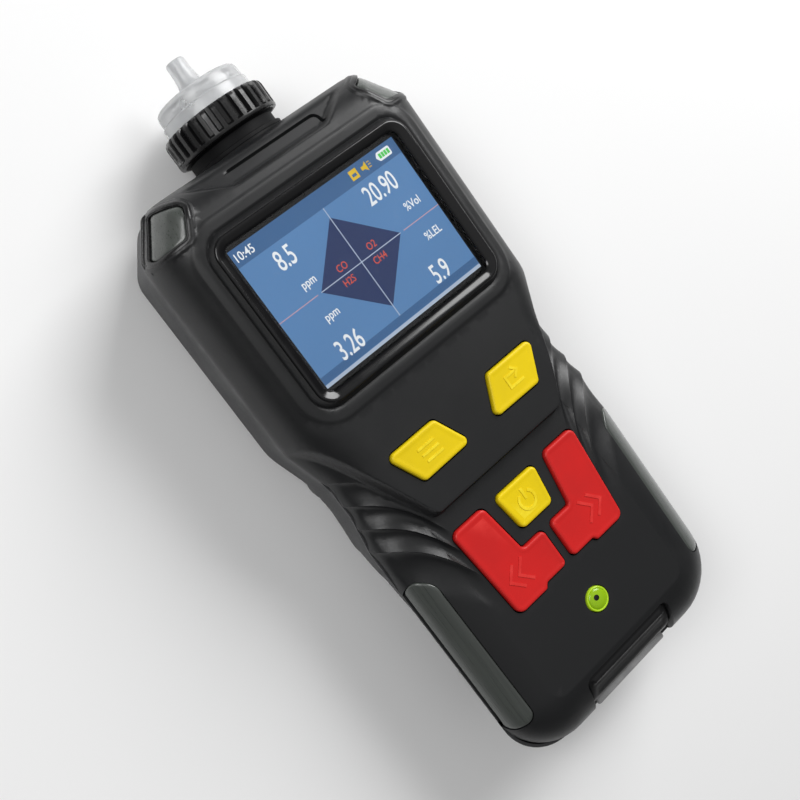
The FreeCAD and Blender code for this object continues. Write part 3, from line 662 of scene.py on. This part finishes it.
def squeezed(xy, edge, z, flat, share):
    """The inside of a cover: its surface drawn in from the edge and towards the parting plane."""
    eps = 0.05
    inward = np.column_stack([edge(xy + [eps, 0]) - edge(xy - [eps, 0]),
                              edge(xy + [0, eps]) - edge(xy - [0, eps])]) / (2 * eps)
    shift = WALL * (1 - ramp(edge(xy), 0.0, 9.0))
    return np.column_stack([xy + inward * shift[:, None], flat + share * (z - flat)])


def cover_rings(corners):
    return insets(corners, (0.03, 0.12, 0.3, 0.6, 1.0, 1.5, 2.1, 2.9, 3.8, 5.0, 6.4, 8.0, 9.8,
                            11.4, 12.1, 12.42, 12.58, 12.9, 13.6, 14.6))


def make_front_shell():
    outline = rounded(case_outline(FRONT_CORNER_R), 6.0, 0.9)
    rings = cover_rings(case_outline(FRONT_CORNER_R))
    rings += insets(both_sides(SHIELD), (-0.5, -0.2, 0.2, 0.7, 1.2, 1.6, 1.95, 2.4), 6.0)
    rings += insets(both_sides(SCOOP), (-0.5, -0.15, 0.1, 0.4, 0.7, 1.0, 1.3, 1.65, 2.1), 6.0)
    rings += [rounded(screen_corners(out), 6.0, 1.2)
              for out in (2.3, 2.6, 2.9, 3.2, 3.5, 3.9, 4.8, 5.8, 6.2, 6.6, 7.1)]
    rings += insets(both_sides(GROOVE), (-0.43, -0.26, -0.1, 0.1, 0.26, 0.43), step=0.8)
    rings += insets(both_sides(PORT), (-0.32, -0.15, 0.05))
    for side in (SIDE_WINDOW, mirror(SIDE_WINDOW)):
        rings += insets(side, (-0.6, -0.25, -0.04, 0.0, 0.3))
    for side in (CORNER_WINDOW, mirror(CORNER_WINDOW)):
        rings += insets(side, (-2.1, -1.8, -1.5, -0.8, -0.04, 0.0, 0.3), step=0.9)
    rings += rib_lines()
    holes = [rounded(screen_corners(2.08), 6.0, 1.2), lamp_ring(LAMP_R + 0.25)]
    holes += [rounded(inset(k, -KEY_GAP), 9.0, 1.5) for k in KEY_OUTLINES.values()]
    xy, tris = plan_mesh(outline, holes, feature_lines(rings, outline), 1.5)
    top = along_normal(xy, front_height, front_cut(xy))

    def edge(points):
        return signed_distance(points, FRONT_LOOP)

    rim = edge(xy) < 0.01
    top[rim, 2] = PARTING_Z
    inner = squeezed(xy, edge, front_height(xy), PARTING_Z, 0.8)
    inner[rim, 2] = PARTING_Z
    verts = np.concatenate([top, inner])
    shell = new_object("front_shell", verts, closed_faces(tris, len(top)), M["case_black"], slot="case_black")
    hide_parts("front_cover")


REAR_CORNERS = case_outline(REAR_CORNER_R)
SCREW_BOX = node_box("case_screws")
CASE_SCREWS = [(32.0, 50.0), (29.0, -8.0), (26.0, -80.0)]
SCREW_WELL_R = 2.8
SOUNDER = (18.0, 5.0)
LABEL = [(24.0, -22.0, 3.0), (24.0, -68.0, 3.0)]
LABEL_LOOP = rounded(both_sides(LABEL))


def rear_height(xy):
    edge = signed_distance(xy, REAR_LOOP)
    run = 0.5 + 4.3 * ramp(-xy[:, 1], -4.0, 68.0)
    z = PARTING_Z - (PARTING_Z - REAR_WALL_Z) * np.clip(edge / run, 0, 1)
    return z - REAR_WALL_Z * quarter((edge - run) / (REAR_REACH - 0.5))


def rear_holes():
    """(x, y, radius, depth from the back) of every hole in the rear cover."""
    holes = [(s * x, y, SCREW_WELL_R, SCREW_BOX[0][2] + 1.8) for x, y in CASE_SCREWS for s in (1, -1)]
    for i in range(6):
        angle = math.radians(60 * i)
        holes.append((SOUNDER[0] + 3.2 * math.cos(angle), SOUNDER[1] + 3.2 * math.sin(angle), 0.8, 2.0))
    return holes + [(SOUNDER[0], SOUNDER[1], 0.8, 2.0), (0.0, 12.4, 1.1, 2.0)]


def make_rear_shell():
    outline = rounded(REAR_CORNERS, 6.0, 1.2)
    rings = insets(REAR_CORNERS, (0.1, 0.25, 0.4, 0.5, 0.53, 0.6, 0.8, 1.1, 1.6, 2.2, 3.0, 4.0, 4.8, 4.85,
                                  5.0, 5.4, 6.0, 6.8, 8.2, 9.6, 11.5, 13.5), step=1.8)
    rings += insets(both_sides(LABEL), (-0.3, 0.0, 0.3))
    circles = []
    for x, y, r, _ in rear_holes():
        angles = np.linspace(0, 2 * math.pi, 28, endpoint=False)
        unit = np.column_stack([np.cos(angles), np.sin(angles)])
        circles += [[x, y] + unit * q
                    for q in (r + 2.4, r + 1.9, r + 1.4, r + 0.9, r + 0.35, r + 0.12, r, r - 0.04)]
    xy, tris = plan_mesh(outline, (), feature_lines(rings + circles, outline), 2.2)
    z = rear_height(xy)
    label = signed_distance(xy, LABEL_LOOP)
    z = z + 0.4 * ramp(label, -0.2, 0.25)
    for x, y, r, depth in rear_holes():
        away = np.hypot(xy[:, 0] - x, xy[:, 1] - y)
        # a flat land round each screw, proud of the rounded edge
        z = z + (np.minimum(z, 0.7) - z) * (1 - ramp(away, r + 0.9, r + 2.4))
        z = np.where(away < r - 0.02, np.maximum(z, depth), z + 0.12 * (1 - ramp(away, r, r + 0.3)))

    def edge(points):
        return signed_distance(points, REAR_LOOP)

    rim = edge(xy) < 0.01
    z[rim] = PARTING_Z
    outer = np.column_stack([xy, z])
    inner = squeezed(xy, edge, rear_height(xy), PARTING_Z, 0.86)
    inner[rim, 2] = PARTING_Z
    shell = new_object("rear_shell", np.concatenate([outer, inner]), closed_faces(tris, len(outer)),
                       M["case_rear"], slot="case_rear")
    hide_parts("rear_cover")


def make_bezel():
    """The glossy rim whose inner lip overlaps the glass."""
    profile = [(2.0, 36.9), (2.0, RIM_Z - 0.3), (1.85, RIM_Z - 0.12), (1.65, RIM_Z - 0.02), (1.45, RIM_Z),
               (1.2, RIM_Z - 0.06), (0.8, RIM_Z - 0.22), (0.2, RIM_Z - 0.45), (-0.3, RIM_Z - 0.68),
               (-0.5, RIM_Z - 0.85), (-0.5, 37.65), (0.1, 37.65), (0.1, 36.9)]
    loops = [level(rounded(screen_corners(out), 6.0), z) for out, z in profile]
    loop_mesh("screen_bezel", loops, M["gloss_black"], closed_profile=True, slot="case_black")


def make_lens(name, corners, node):
    """A smoked lens that lies in its pocket and follows the case's surface."""
    shape = inset(corners, 0.1)
    outline = rounded(shape, 9.0, 0.9)
    rings = insets(shape, (0.08, 0.2, 0.4, 0.8, 1.3), 9.0, 0.9)
    xy, tris = plan_mesh(outline, (), feature_lines(rings, outline), 1.0)
    loop = rounded(shape)
    edge = signed_distance(xy, loop)
    top = along_normal(xy, front_height, -0.08 - 0.3 * (1 - quarter(edge / 0.5)))
    bottom = along_normal(xy, front_height, -0.95 * np.ones(len(xy)))
    lens = new_object(name, np.concatenate([top, bottom]), closed_faces(tris, len(top)),
                      M["smoked_window"], slot="smoked_window", sharp=50.0)
    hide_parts(node)


def make_frame(name, corners):
    """The raised frame round a corner window."""
    outer, inner = inset(corners, -1.25), inset(corners, 0.03)
    outline, hole = rounded(outer, 9.0, 0.8), rounded(inner, 9.0, 0.8)
    rings = insets(corners, (-1.15, -1.0, -0.75, -0.5, -0.25, -0.1), 9.0, 0.8)
    xy, tris = plan_mesh(outline, (hole,), feature_lines(rings, outline), 1.0)
    edge = np.minimum(signed_distance(xy, rounded(outer)), -signed_distance(xy, rounded(inner)))
    top = along_normal(xy, front_height, 0.12 + 0.36 * quarter(edge / 0.5))
    top[:, 1] = np.minimum(top[:, 1], TOP_Y)
    bottom = along_normal(xy, front_height, np.full(len(xy), -0.3))
    new_object(name, np.concatenate([top, bottom]), closed_faces(tris, len(top)), M["ring_black"],
               slot="case_black", sharp=50.0)


def make_lenses():
    make_frame("corner_frame_right", CORNER_WINDOW)
    make_frame("corner_frame_left", mirror(CORNER_WINDOW))
    make_lens("side_lens_right", SIDE_WINDOW, "side_window_right")
    make_lens("side_lens_left", mirror(SIDE_WINDOW), "side_window_left")
    make_lens("corner_lens_right", CORNER_WINDOW, "corner_window_right")
    make_lens("corner_lens_left", mirror(CORNER_WINDOW), "corner_window_left")


PORT_LOW_Y = node_box("port_cover")[0][1]
PULL_Z = (23.7, 24.9)


def make_port_cover():
    """The rubber cover of the charging port: a panel with a rounded ridge and a pull lip."""
    shape = both_sides([(14.7, -83.15, 1.8), (14.7, BOTTOM_Y + 0.08, 0.5)])
    outline = rounded(shape, 9.0, 0.7)
    rings = insets(shape, (0.1, 0.3, 0.6, 1.0, 1.5, 2.0, 2.5, 3.0, 3.5), 9.0, 0.7)
    xy, tris = plan_mesh(outline, (), feature_lines(rings, outline), 0.7)
    inside = signed_distance(xy, FRONT_LOOP)
    away = signed_distance(xy, rounded(shape))
    ends = 1 - ramp(np.abs(xy[:, 0]), 12.6, 13.6)
    ridge = ramp(-xy[:, 1], 84.0, 84.5) * (1 - ramp(-xy[:, 1], 85.3, 86.0)) * ends
    channel = ramp(-xy[:, 1], 86.8, 87.6) * (1 - ramp(-xy[:, 1], 89.2, 90.0)) * ends
    offset = -0.8 + 0.62 * ridge - 0.2 * channel - 0.3 * (1 - quarter(away / 0.6))
    offset = offset - 0.5 * ramp(-xy[:, 1], 90.2, 91.6)
    top = along_normal(xy, front_height, offset)
    bottom = along_normal(xy, front_height, -1.45 * np.ones(len(xy)))
    for side in (top, bottom):
        side[:, 2] = np.maximum(side[:, 2], PARTING_Z + 0.6)
    panel = new_object("port_panel", np.concatenate([top, bottom]), closed_faces(tris, len(top)),
                       M["port_rubber"], body="port_flap", slot="port_rubber", sharp=50.0)
    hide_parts("port_cover")
    pull = [(-12.5, PULL_Z[0]), (12.5, PULL_Z[0]), (12.8, PULL_Z[0] + 0.3), (12.8, PULL_Z[1] - 0.3),
            (12.5, PULL_Z[1]), (-12.5, PULL_Z[1]), (-12.8, PULL_Z[1] - 0.3), (-12.8, PULL_Z[0] + 0.3)]
    inner, y0 = 0.25, PORT_LOW_Y + 0.3
    loops = []
    for drawn, y in ((inner, y0), (0.05, y0 + 0.2), (0.0, y0 + 0.45), (0.0, y0 + 1.9)):
        loops.append(np.array([(x - math.copysign(drawn, x), y,
                                z - math.copysign(drawn, z - 0.5 * sum(PULL_Z))) for x, z in pull]))
    loop_mesh("port_pull", loops, M["port_pull"], body="port_flap", slot="port_rubber", sharp=50.0)


# ---- keys and lamp
def make_key(name, corners, base, body, colour):
    profile = [(0.12, base - 1.5), (0.0, base - 1.2), (0.0, base + 0.4), (0.06, base + 0.62),
               (0.2, base + 0.82),
               (0.4, base + 0.94), (0.65, base + 0.98), (0.9, base + 0.98), (1.15, base + 0.95),
               (1.45, base + 0.91), (1.8, base + 0.9)]
    cap = outline_solid(name + "_cap", corners, profile, M[colour], body=body, slot=colour, sharp=50.0)
    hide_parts(name)


def ribbon(name, path, width, z0, z1, material, closed=False, **where):
    """A raised line of constant width along a path of plan points."""
    path = [Vector(p) for p in path]
    count = len(path)
    left, right = [], []
    for i, here in enumerate(path):
        before = path[i - 1] if (i or closed) else here
        after = path[(i + 1) % count] if (i < count - 1 or closed) else here
        a = (here - before).normalized() if (here - before).length else (after - here).normalized()
        b = (after - here).normalized() if (after - here).length else a
        normal = Vector((-(a.y + b.y), a.x + b.x)).normalized()
        reach = 0.5 * width / max(0.35, normal.dot(Vector((-a.y, a.x))))
        left.append(here + normal * reach)
        right.append(here - normal * reach)
    verts = []
    for p, q in zip(left, right):
        verts += [(p.x, p.y, z0), (q.x, q.y, z0), (q.x, q.y, z1), (p.x, p.y, z1)]
    faces = []
    for i in range(count if closed else count - 1):
        a, b = 4 * i, 4 * ((i + 1) % count)
        for k in range(4):
            faces.append((a + k, a + (k + 1) % 4, b + (k + 1) % 4, b + k))
    if not closed:
        faces += [(3, 2, 1, 0), tuple(4 * (count - 1) + k for k in range(4))]
    return new_object(name, verts, faces, material, **where)


def arc_points(x, y, r, start, end, count=18):
    return [(x + r * math.cos(math.radians(start + (end - start) * k / count)),
             y + r * math.sin(math.radians(start + (end - start) * k / count))) for k in range(count + 1)]


def make_keys():
    for name, corners in KEY_OUTLINES.items():
        soft = name.endswith("soft")
        base = SHIELD_Z if soft else FACE_Z
        colour = "key_red" if name.endswith("arrow") else "key_yellow"
        short = name.replace("key_", "") + "_key"
        make_key(name, corners, base, short, colour)
    raised = 0.12
    top = FACE_Z + 0.9
    for side, body in ((-1, "left_arrow_key"), (1, "right_arrow_key")):
        for k in range(2):
            x = side * (10.2 + 3.0 * k)
            chevron = [(x, -46.9), (x + side * 2.9, -50.1), (x, -53.3)]
            ribbon("%s_chevron_%d" % (body, k), chevron, 0.75, top - 0.1, top + raised, M["key_red"],
                   body=body, slot="key_red")
    marks = [("power_ring", arc_points(0, -37.6, 2.3, 125, 415), 0.7, "power_key"),
             ("power_bar", [(0, -34.4), (0, -37.3)], 0.7, "power_key")]
    for k in range(3):
        y = -10.2 - 1.7 * k
        marks.append(("menu_bar_%d" % k, [(-16.6 + 0.3 * k, y), (-11.6 + 0.3 * k, y)], 0.6, "left_soft_key"))
    marks.append(("back_arrow", [(16.3, -13.4), (12.0, -13.4), (12.0, -10.6), (15.2, -10.6)], 0.6,
                  "right_soft_key"))
    marks.append(("back_arrow_head", [(14.4, -9.2), (15.9, -10.6), (14.4, -12.0)], 0.6, "right_soft_key"))
    for name, path, width, body in marks:
        top = (FACE_Z if body == "power_key" else SHIELD_Z) + 0.9
        ribbon(name, path, width, top - 0.1, top + raised, M["key_yellow"], body=body, slot="key_yellow")


def make_lamp():
    """A domed lime lens in a lighter ring, with the dark eye of its LED."""
    def dome(name, profile, material, slot, y=LAMP_Y, x=0.0, closed=False):
        angles = np.linspace(0, 2 * math.pi, 64, endpoint=False)
        loops = [np.column_stack([x + r * np.cos(angles), y + r * np.sin(angles), np.full(64, z)])
                 for r, z in profile]
        return loop_mesh(name, loops, material, closed_profile=closed, slot=slot)
    lens = dome("lamp_lens", [(2.6, 31.0), (2.6, FACE_Z + 0.25), (2.45, FACE_Z + 0.42), (2.1, FACE_Z + 0.56),
                              (1.5, FACE_Z + 0.7), (0.8, FACE_Z + 0.79), (0.25, FACE_Z + 0.82)],
                M["lime_lens"], "lime_lens")
    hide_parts("status_lens")
    dome("lamp_ring", [(2.62, 31.0), (3.18, 31.0), (3.18, FACE_Z + 0.1), (3.08, FACE_Z + 0.32),
                       (2.9, FACE_Z + 0.4), (2.72, FACE_Z + 0.34), (2.62, FACE_Z + 0.2)],
         M["lime_rim"], "lime_lens", closed=True)
    dome("lamp_eye", [(0.75, FACE_Z + 0.4), (0.72, FACE_Z + 0.83), (0.5, FACE_Z + 0.9), (0.2, FACE_Z + 0.93)],
         M["gloss_black"], "lime_lens", y=LAMP_Y + 0.7, x=-0.3)


# ---- gas inlet
RING_LOW, RING_HIGH = node_box("ring_nut")
CAP_LOW, CAP_HIGH = node_box("filter_cap")
RING_R = RING_HIGH[0]
CAP_FLANGE_R = CAP_HIGH[0]
CUP_R = CAP_FLANGE_R - 0.65
NECK_R = CAP_FLANGE_R + 0.2
NOZZLE_R = 2.5
TEETH = 32


def make_ring():
    """The knurled ring: each groove is open at the top and stops above the lower rim."""
    y0, y1 = RING_LOW[1], RING_HIGH[1]
    shoulder = CAP_LOW[1] + 1.42
    profile = [(RING_R - 0.5, y0), (RING_R - 0.15, y0 + 0.15), (RING_R, y0 + 0.5), (RING_R, y0 + 0.9),
               (RING_R, y0 + 1.2), (RING_R, y0 + 1.5), (RING_R, y0 + 3.0), (RING_R, y1 - 2.2),
               (RING_R, y1 - 1.3),
               (RING_R - 0.2, y1 - 0.6), (RING_R - 0.5, y1 - 0.2), (RING_R - 0.85, y1),
               (CUP_R + 0.12, y1), (CUP_R + 0.1, shoulder), (NECK_R + 0.1, shoulder), (NECK_R + 0.1, y0)]
    pitch = 2 * math.pi / TEETH
    shares = (-0.5, -0.4, -0.31, -0.25, -0.19, -0.1, 0.0, 0.1, 0.19, 0.25, 0.31, 0.4)
    angles = np.array([pitch * (k + s) for k in range(TEETH) for s in shares])
    share = np.array(list(shares) * TEETH)
    groove = 1 - ramp(np.abs(share), 0.2, 0.3)
    loops = []
    for r, y in profile:
        outside = r > RING_R - 1.2
        depth = 1.1 * groove * ramp(y, y0 + 0.9, y0 + 1.5) * (1.0 if outside else 0.0)
        radius = np.minimum(r, RING_R - depth) if outside else np.full(len(angles), r)
        loops.append(np.column_stack([radius * np.sin(angles), np.full(len(angles), y),
                                      INLET_Z + radius * np.cos(angles)]))
    ring = loop_mesh("knurled_ring", loops, M["ring_black"], closed_profile=True, body="ring",
                     slot="ring_black", sharp=40.0)
    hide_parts("ring_nut")


def make_cap():
    """The clear cap: flange, stepped cup and hose nozzle in one moulding."""
    y0, top, tip = CAP_LOW[1], CAP_LOW[1] + 11.0, CAP_HIGH[1]
    bore = 1.3
    profile = [
        (10.3, y0), (CAP_FLANGE_R, y0), (CAP_FLANGE_R, y0 + 1.4), (CUP_R, y0 + 1.4),
        (CUP_R, y0 + 6.9), (CUP_R - 0.12, y0 + 7.2), (CUP_R - 0.45, y0 + 7.4),
        (CUP_R - 0.5, top - 1.3), (CUP_R - 0.75, top - 0.55), (CUP_R - 1.3, top - 0.1), (CUP_R - 2.0, top),
        (NOZZLE_R + 2.6, top + 0.1), (NOZZLE_R + 1.6, top + 0.35), (NOZZLE_R + 0.95, top + 0.9),
        (NOZZLE_R + 0.6, top + 1.5), (NOZZLE_R + 0.25, top + 2.8), (NOZZLE_R + 0.05, top + 4.4),
        (NOZZLE_R - 0.05, tip - 0.5), (NOZZLE_R - 0.3, tip - 0.08), (NOZZLE_R - 0.6, tip), (bore + 0.2, tip),
        (bore, tip - 0.3), (bore, top - 0.9), (bore + 0.6, top - 1.4), (CUP_R - 3.2, top - 1.6),
        (CUP_R - 2.2, top - 2.2), (CUP_R - 1.8, top - 3.2), (10.2, y0 + 2.4),
    ]
    cap = turned("clear_cap", profile, M["clear_plastic"], body="cap", slot="clear_plastic", sharp=40.0)
    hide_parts("filter_cap")


def make_neck():
    """The black neck behind the ring, with its two flanges; its colour is darker than its own black, as
    painted shade cast by the ring.
    """
    high = node_box("inlet_neck")[1]
    collar = TOP_Y + 0.15
    rim, waist = RING_R - 1.3, NECK_R - 0.9
    profile = [(9.6, 64.2), (NECK_R, 64.2), (NECK_R, collar), (rim - 0.15, collar), (rim, collar + 0.15),
               (rim, collar + 0.95), (rim - 0.15, collar + 1.1), (waist, collar + 1.15),
               (waist, RING_LOW[1] - 0.5), (NECK_R - 0.1, RING_LOW[1] - 0.15), (NECK_R, RING_LOW[1]),
               (NECK_R, high[1] - 0.05), (9.6, high[1] - 0.05)]
    neck = turned("neck", profile, M["neck_black"], slot="neck_black", sharp=40.0)
    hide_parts("inlet_neck")


# ---- screen picture
PICTURE_Z = LCD_Z + 0.03
SHEET = 0.02             # thickness of one layer of the picture
DIAMOND = 12.24
CENTRE_Y = SCREEN_Y - 0.6


def sheet_piece(name, outline, layer, material):
    """A thin flat shape of the picture, stacked at its layer above the panel."""
    z0 = PICTURE_Z + SHEET * layer
    loops = [level(np.array(outline), z0), level(np.array(outline), z0 + SHEET)]
    loop_mesh(name, loops, material, slot="lcd_picture")


def rectangle(x0, x1, y0, y1):
    return [(x1, y0), (x1, y1), (x0, y1), (x0, y0)]


def caption(name, text, x, y, height, squeeze, material, bold=0.0):
    """Lettering of the picture: numbers, units and gas formulas, height tall and left-aligned at x."""
    curve = bpy.data.curves.new(name, "FONT")
    curve.body = text
    curve.size = height / 0.72 * MM
    curve.offset = bold * MM
    curve.extrude = 0.01 * MM
    curve.resolution_u = 4
    text_obj = bpy.data.objects.new(name + "_text", curve)
    bpy.context.scene.collection.objects.link(text_obj)
    bpy.context.view_layer.update()
    mesh = bpy.data.meshes.new_from_object(text_obj.evaluated_get(bpy.context.evaluated_depsgraph_get()))
    bpy.data.objects.remove(text_obj)
    place = Matrix.Translation((x * MM, y * MM, (PICTURE_Z + SHEET * 4) * MM))
    mesh.transform(place @ Matrix.Diagonal((squeeze, 1.0, 1.0, 1.0)))
    mesh.name = name
    mesh.materials.clear()
    mesh.materials.append(material)
    obj = bpy.data.objects.new(name, mesh)
    bpy.context.scene.collection.objects.link(obj)
    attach(obj, "case")


def make_picture():
    """The lit picture: status bar, four readings round a diamond with the gas formulas."""
    left, right = -LCD_HALF[0], LCD_HALF[0]
    low, high = SCREEN_Y - LCD_HALF[1], SCREEN_Y + LCD_HALF[1]
    bar, navy, white, line, pink, orange, yellow, green = [
        glowing("picture_" + ink, rgb(*light)) for ink, light in (
            ("bar", (0.055, 0.135, 0.29)), ("navy", (0.028, 0.045, 0.125)), ("white", (0.85, 0.88, 0.9)),
            ("line", (0.42, 0.5, 0.62)), ("pink", (0.5, 0.33, 0.4)), ("orange", (0.75, 0.11, 0.045)),
            ("yellow", (0.75, 0.5, 0.03)), ("green", (0.08, 0.6, 0.1)))]
    sheet_piece("picture_status_bar", rectangle(left, right, high - 4.2, high), 1, bar)
    sheet_piece("picture_foot_bar", rectangle(left, right, low + 0.9, low + 2.8), 1, bar)
    sheet_piece("picture_foot_line", rectangle(left, right, low, low + 0.8), 1, line)
    diamond = [(DIAMOND, CENTRE_Y), (0, CENTRE_Y + DIAMOND), (-DIAMOND, CENTRE_Y), (0, CENTRE_Y - DIAMOND)]
    sheet_piece("picture_diamond", diamond, 1, navy)
    half = 0.11
    across = CENTRE_Y - half, CENTRE_Y + half
    sheet_piece("picture_level_line", rectangle(-DIAMOND, DIAMOND, *across), 2, line)
    sheet_piece("picture_plumb_line", rectangle(-half, half, low + 2.8, high - 4.2), 3, line)
    sheet_piece("picture_left_line", rectangle(left, -DIAMOND - 1.0, *across), 2, pink)
    sheet_piece("picture_right_line", rectangle(DIAMOND + 1.0, right, *across), 2, pink)
    caption("clock", "10:45", left + 0.3, high - 3.1, 2.1, 0.85, white, bold=0.03)
    for name, text, x, y in (("reading_1", "8.5", -16.8, 40.1), ("reading_2", "20.90", 10.0, 40.1),
                             ("reading_3", "3.26", -17.6, 16.2), ("reading_4", "5.9", 12.4, 16.6)):
        caption(name, text, x, y, 4.8, 0.62, white, bold=0.05)
    for name, text, x, y in (("unit_1", "ppm", -15.0, 34.3), ("unit_2", "%Vol", 17.0, 34.6),
                             ("unit_3", "ppm", -15.0, 25.5), ("unit_4", "%LEL", 17.0, 26.3)):
        caption(name, text, x - 0.2, y - 0.2, 2.05, 0.78, white, bold=0.03)
    for name, text, x, y in (("gas_1", "CO", -6.1, 32.4), ("gas_2", "O2", 3.1, 32.4),
                             ("gas_3", "H2S", -6.7, 28.9), ("gas_4", "CH4", 2.5, 28.9)):
        caption(name, text, x, y, 1.8, 0.78, orange)
    middle = high - 2.1
    sheet_piece("card_icon", rectangle(10.0, 12.2, middle - 1.2, middle + 1.2), 4, yellow)
    sheet_piece("card_icon_slot", rectangle(10.5, 11.7, middle - 0.5, middle + 0.2), 6, bar)
    horn = [(15.0, middle - 1.2), (15.0, middle + 1.2), (14.2, middle + 0.45), (13.4, middle + 0.45),
            (13.4, middle - 0.45), (14.2, middle - 0.45)]
    sheet_piece("speaker_icon", horn, 4, yellow)
    for k, (dx, dy) in enumerate(((0.2, 0.5), (0.3, 0.0), (0.2, -0.5))):
        y = middle + 1.3 * dy
        sheet_piece("speaker_ray_%d" % k, rectangle(15.2 + dx, 15.9 + dx, y - 0.1, y + 0.1), 4, yellow)
    battery = rounded([(22.4, middle + 1.1, 0.4), (22.4, middle - 1.1, 0.4), (18.7, middle - 1.1, 0.4),
                       (18.0, middle, 0.4), (18.7, middle + 1.1, 0.4)], 30.0)
    sheet_piece("battery_icon", battery, 4, white)
    for k in range(4):
        cell = rectangle(18.9 + 0.82 * k, 19.55 + 0.82 * k, middle - 0.6, middle + 0.6)
        sheet_piece("battery_cell_%d" % k, cell, 6, green)


def make_mask():
    """The black border under the glass, round the lit picture."""
    (x, y), (wide, tall), gap = LCD_HALF, GLASS_HALF, 0.05
    opening = both_sides([(x, SCREEN_Y + y, 0.3), (x, SCREEN_Y - y, 0.3)])
    outer = both_sides([(wide - gap, SCREEN_Y + tall - gap, 2.4), (wide - gap, SCREEN_Y - tall + gap, 2.4)])
    z0, z1 = LCD_Z - 0.04, LCD_Z + 0.02
    profile = [(outer, z0), (outer, z1), (opening, z1), (opening, z0)]
    loops = [level(rounded(corners, 15.0), z) for corners, z in profile]
    loop_mesh("screen_mask", loops, M["gloss_black"], closed_profile=True, slot="lcd_picture")


# ---- stage
CAMERA_AT = Vector((-95.1, 41.7, 257.1))
CAMERA_AIM = Vector((-11.34, 0.86, 34.0))
CAMERA_UP = Vector((0.6003, 0.7958, 0.0797))
CAMERA_LENS = 47.25
FLOOR_HALF = 2500.0


def make_camera():
    data = bpy.data.cameras.new("camera")
    data.lens, data.sensor_width = CAMERA_LENS, 36.0
    data.clip_start, data.clip_end = 0.01, 20.0
    camera = bpy.data.objects.new("camera", data)
    back = (CAMERA_AT - CAMERA_AIM).normalized()
    right = CAMERA_UP.cross(back).normalized()
    camera.matrix_world = Matrix((right, back.cross(right), back)).transposed().to_4x4()
    camera.location = CAMERA_AT * MM
    bpy.context.scene.collection.objects.link(camera)
    bpy.context.scene.camera = camera


def softbox(name, place_mm, aim_mm, size_mm, watts):
    data = bpy.data.lights.new(name, "AREA")
    data.shape = "RECTANGLE"
    data.size, data.size_y = size_mm[0] * MM, size_mm[1] * MM
    data.energy = watts
    light = bpy.data.objects.new(name, data)
    light.location = Vector(place_mm) * MM
    light.rotation_mode = "QUATERNION"
    light.rotation_quaternion = (Vector(aim_mm) - Vector(place_mm)).to_track_quat("-Z", "Y")
    bpy.context.scene.collection.objects.link(light)


# Light from the studio's walls and ceiling: (height of the direction, strength), a bright sweep
# behind the floor, a dark wall above it and a bright ceiling.
SKY = [(0.0, 0.34), (1.0, 0.48), (0.1, 0.3), (0.22, 0.07), (0.5, 0.07), (0.93, 0.44)]


def make_stage():
    grid = [(x, y, 0.0) for y in (-FLOOR_HALF, FLOOR_HALF) for x in (-FLOOR_HALF, FLOOR_HALF)]
    mesh = bpy.data.meshes.new("floor")
    mesh.from_pydata((np.array(grid) * MM).tolist(), [], [(0, 1, 3, 2)])
    paper = Finish("floor_paper", Base_Color=grey(0.86), Specular_IOR_Level=0.2)
    paper.put("Roughness", paper.spread(paper.noise(40.0, 2.0), 0.3, 0.7, 0.7, 0.8))
    mesh.materials.append(paper.material)
    floor = bpy.data.objects.new("floor", mesh)
    bpy.context.scene.collection.objects.link(floor)
    world = bpy.data.worlds.new("studio")
    world.use_nodes = True
    sky = world.node_tree.nodes
    place, split, fade = [sky.new(kind) for kind in ("ShaderNodeTexCoord", "ShaderNodeSeparateXYZ",
                                                     "ShaderNodeValToRGB")]
    stops = fade.color_ramp.elements
    for k, (height, light) in enumerate(SKY):
        stop = stops[k] if k < 2 else stops.new(height)
        stop.position = height
        stop.color = grey(light)
    join = world.node_tree.links.new
    join(place.outputs["Generated"], split.inputs["Vector"])
    join(split.outputs["Z"], fade.inputs["Fac"])
    join(fade.outputs["Color"], sky["Background"].inputs["Color"])
    bpy.context.scene.world = world
    bpy.context.scene.view_settings.view_transform = "Standard"
    softbox("key_light", (680, 400, 600), (0, 0, 20), (560, 560), 9.5)
    softbox("rear_light", (-480, 430, 700), (0, 0, 20), (480, 380), 3.4)


make_camera()
make_stage()
finish_cad_nodes()
make_front_shell()
make_rear_shell()
make_bezel()
make_lenses()
make_port_cover()
make_keys()
make_lamp()
make_ring()
make_cap()
make_neck()
make_mask()
make_picture()
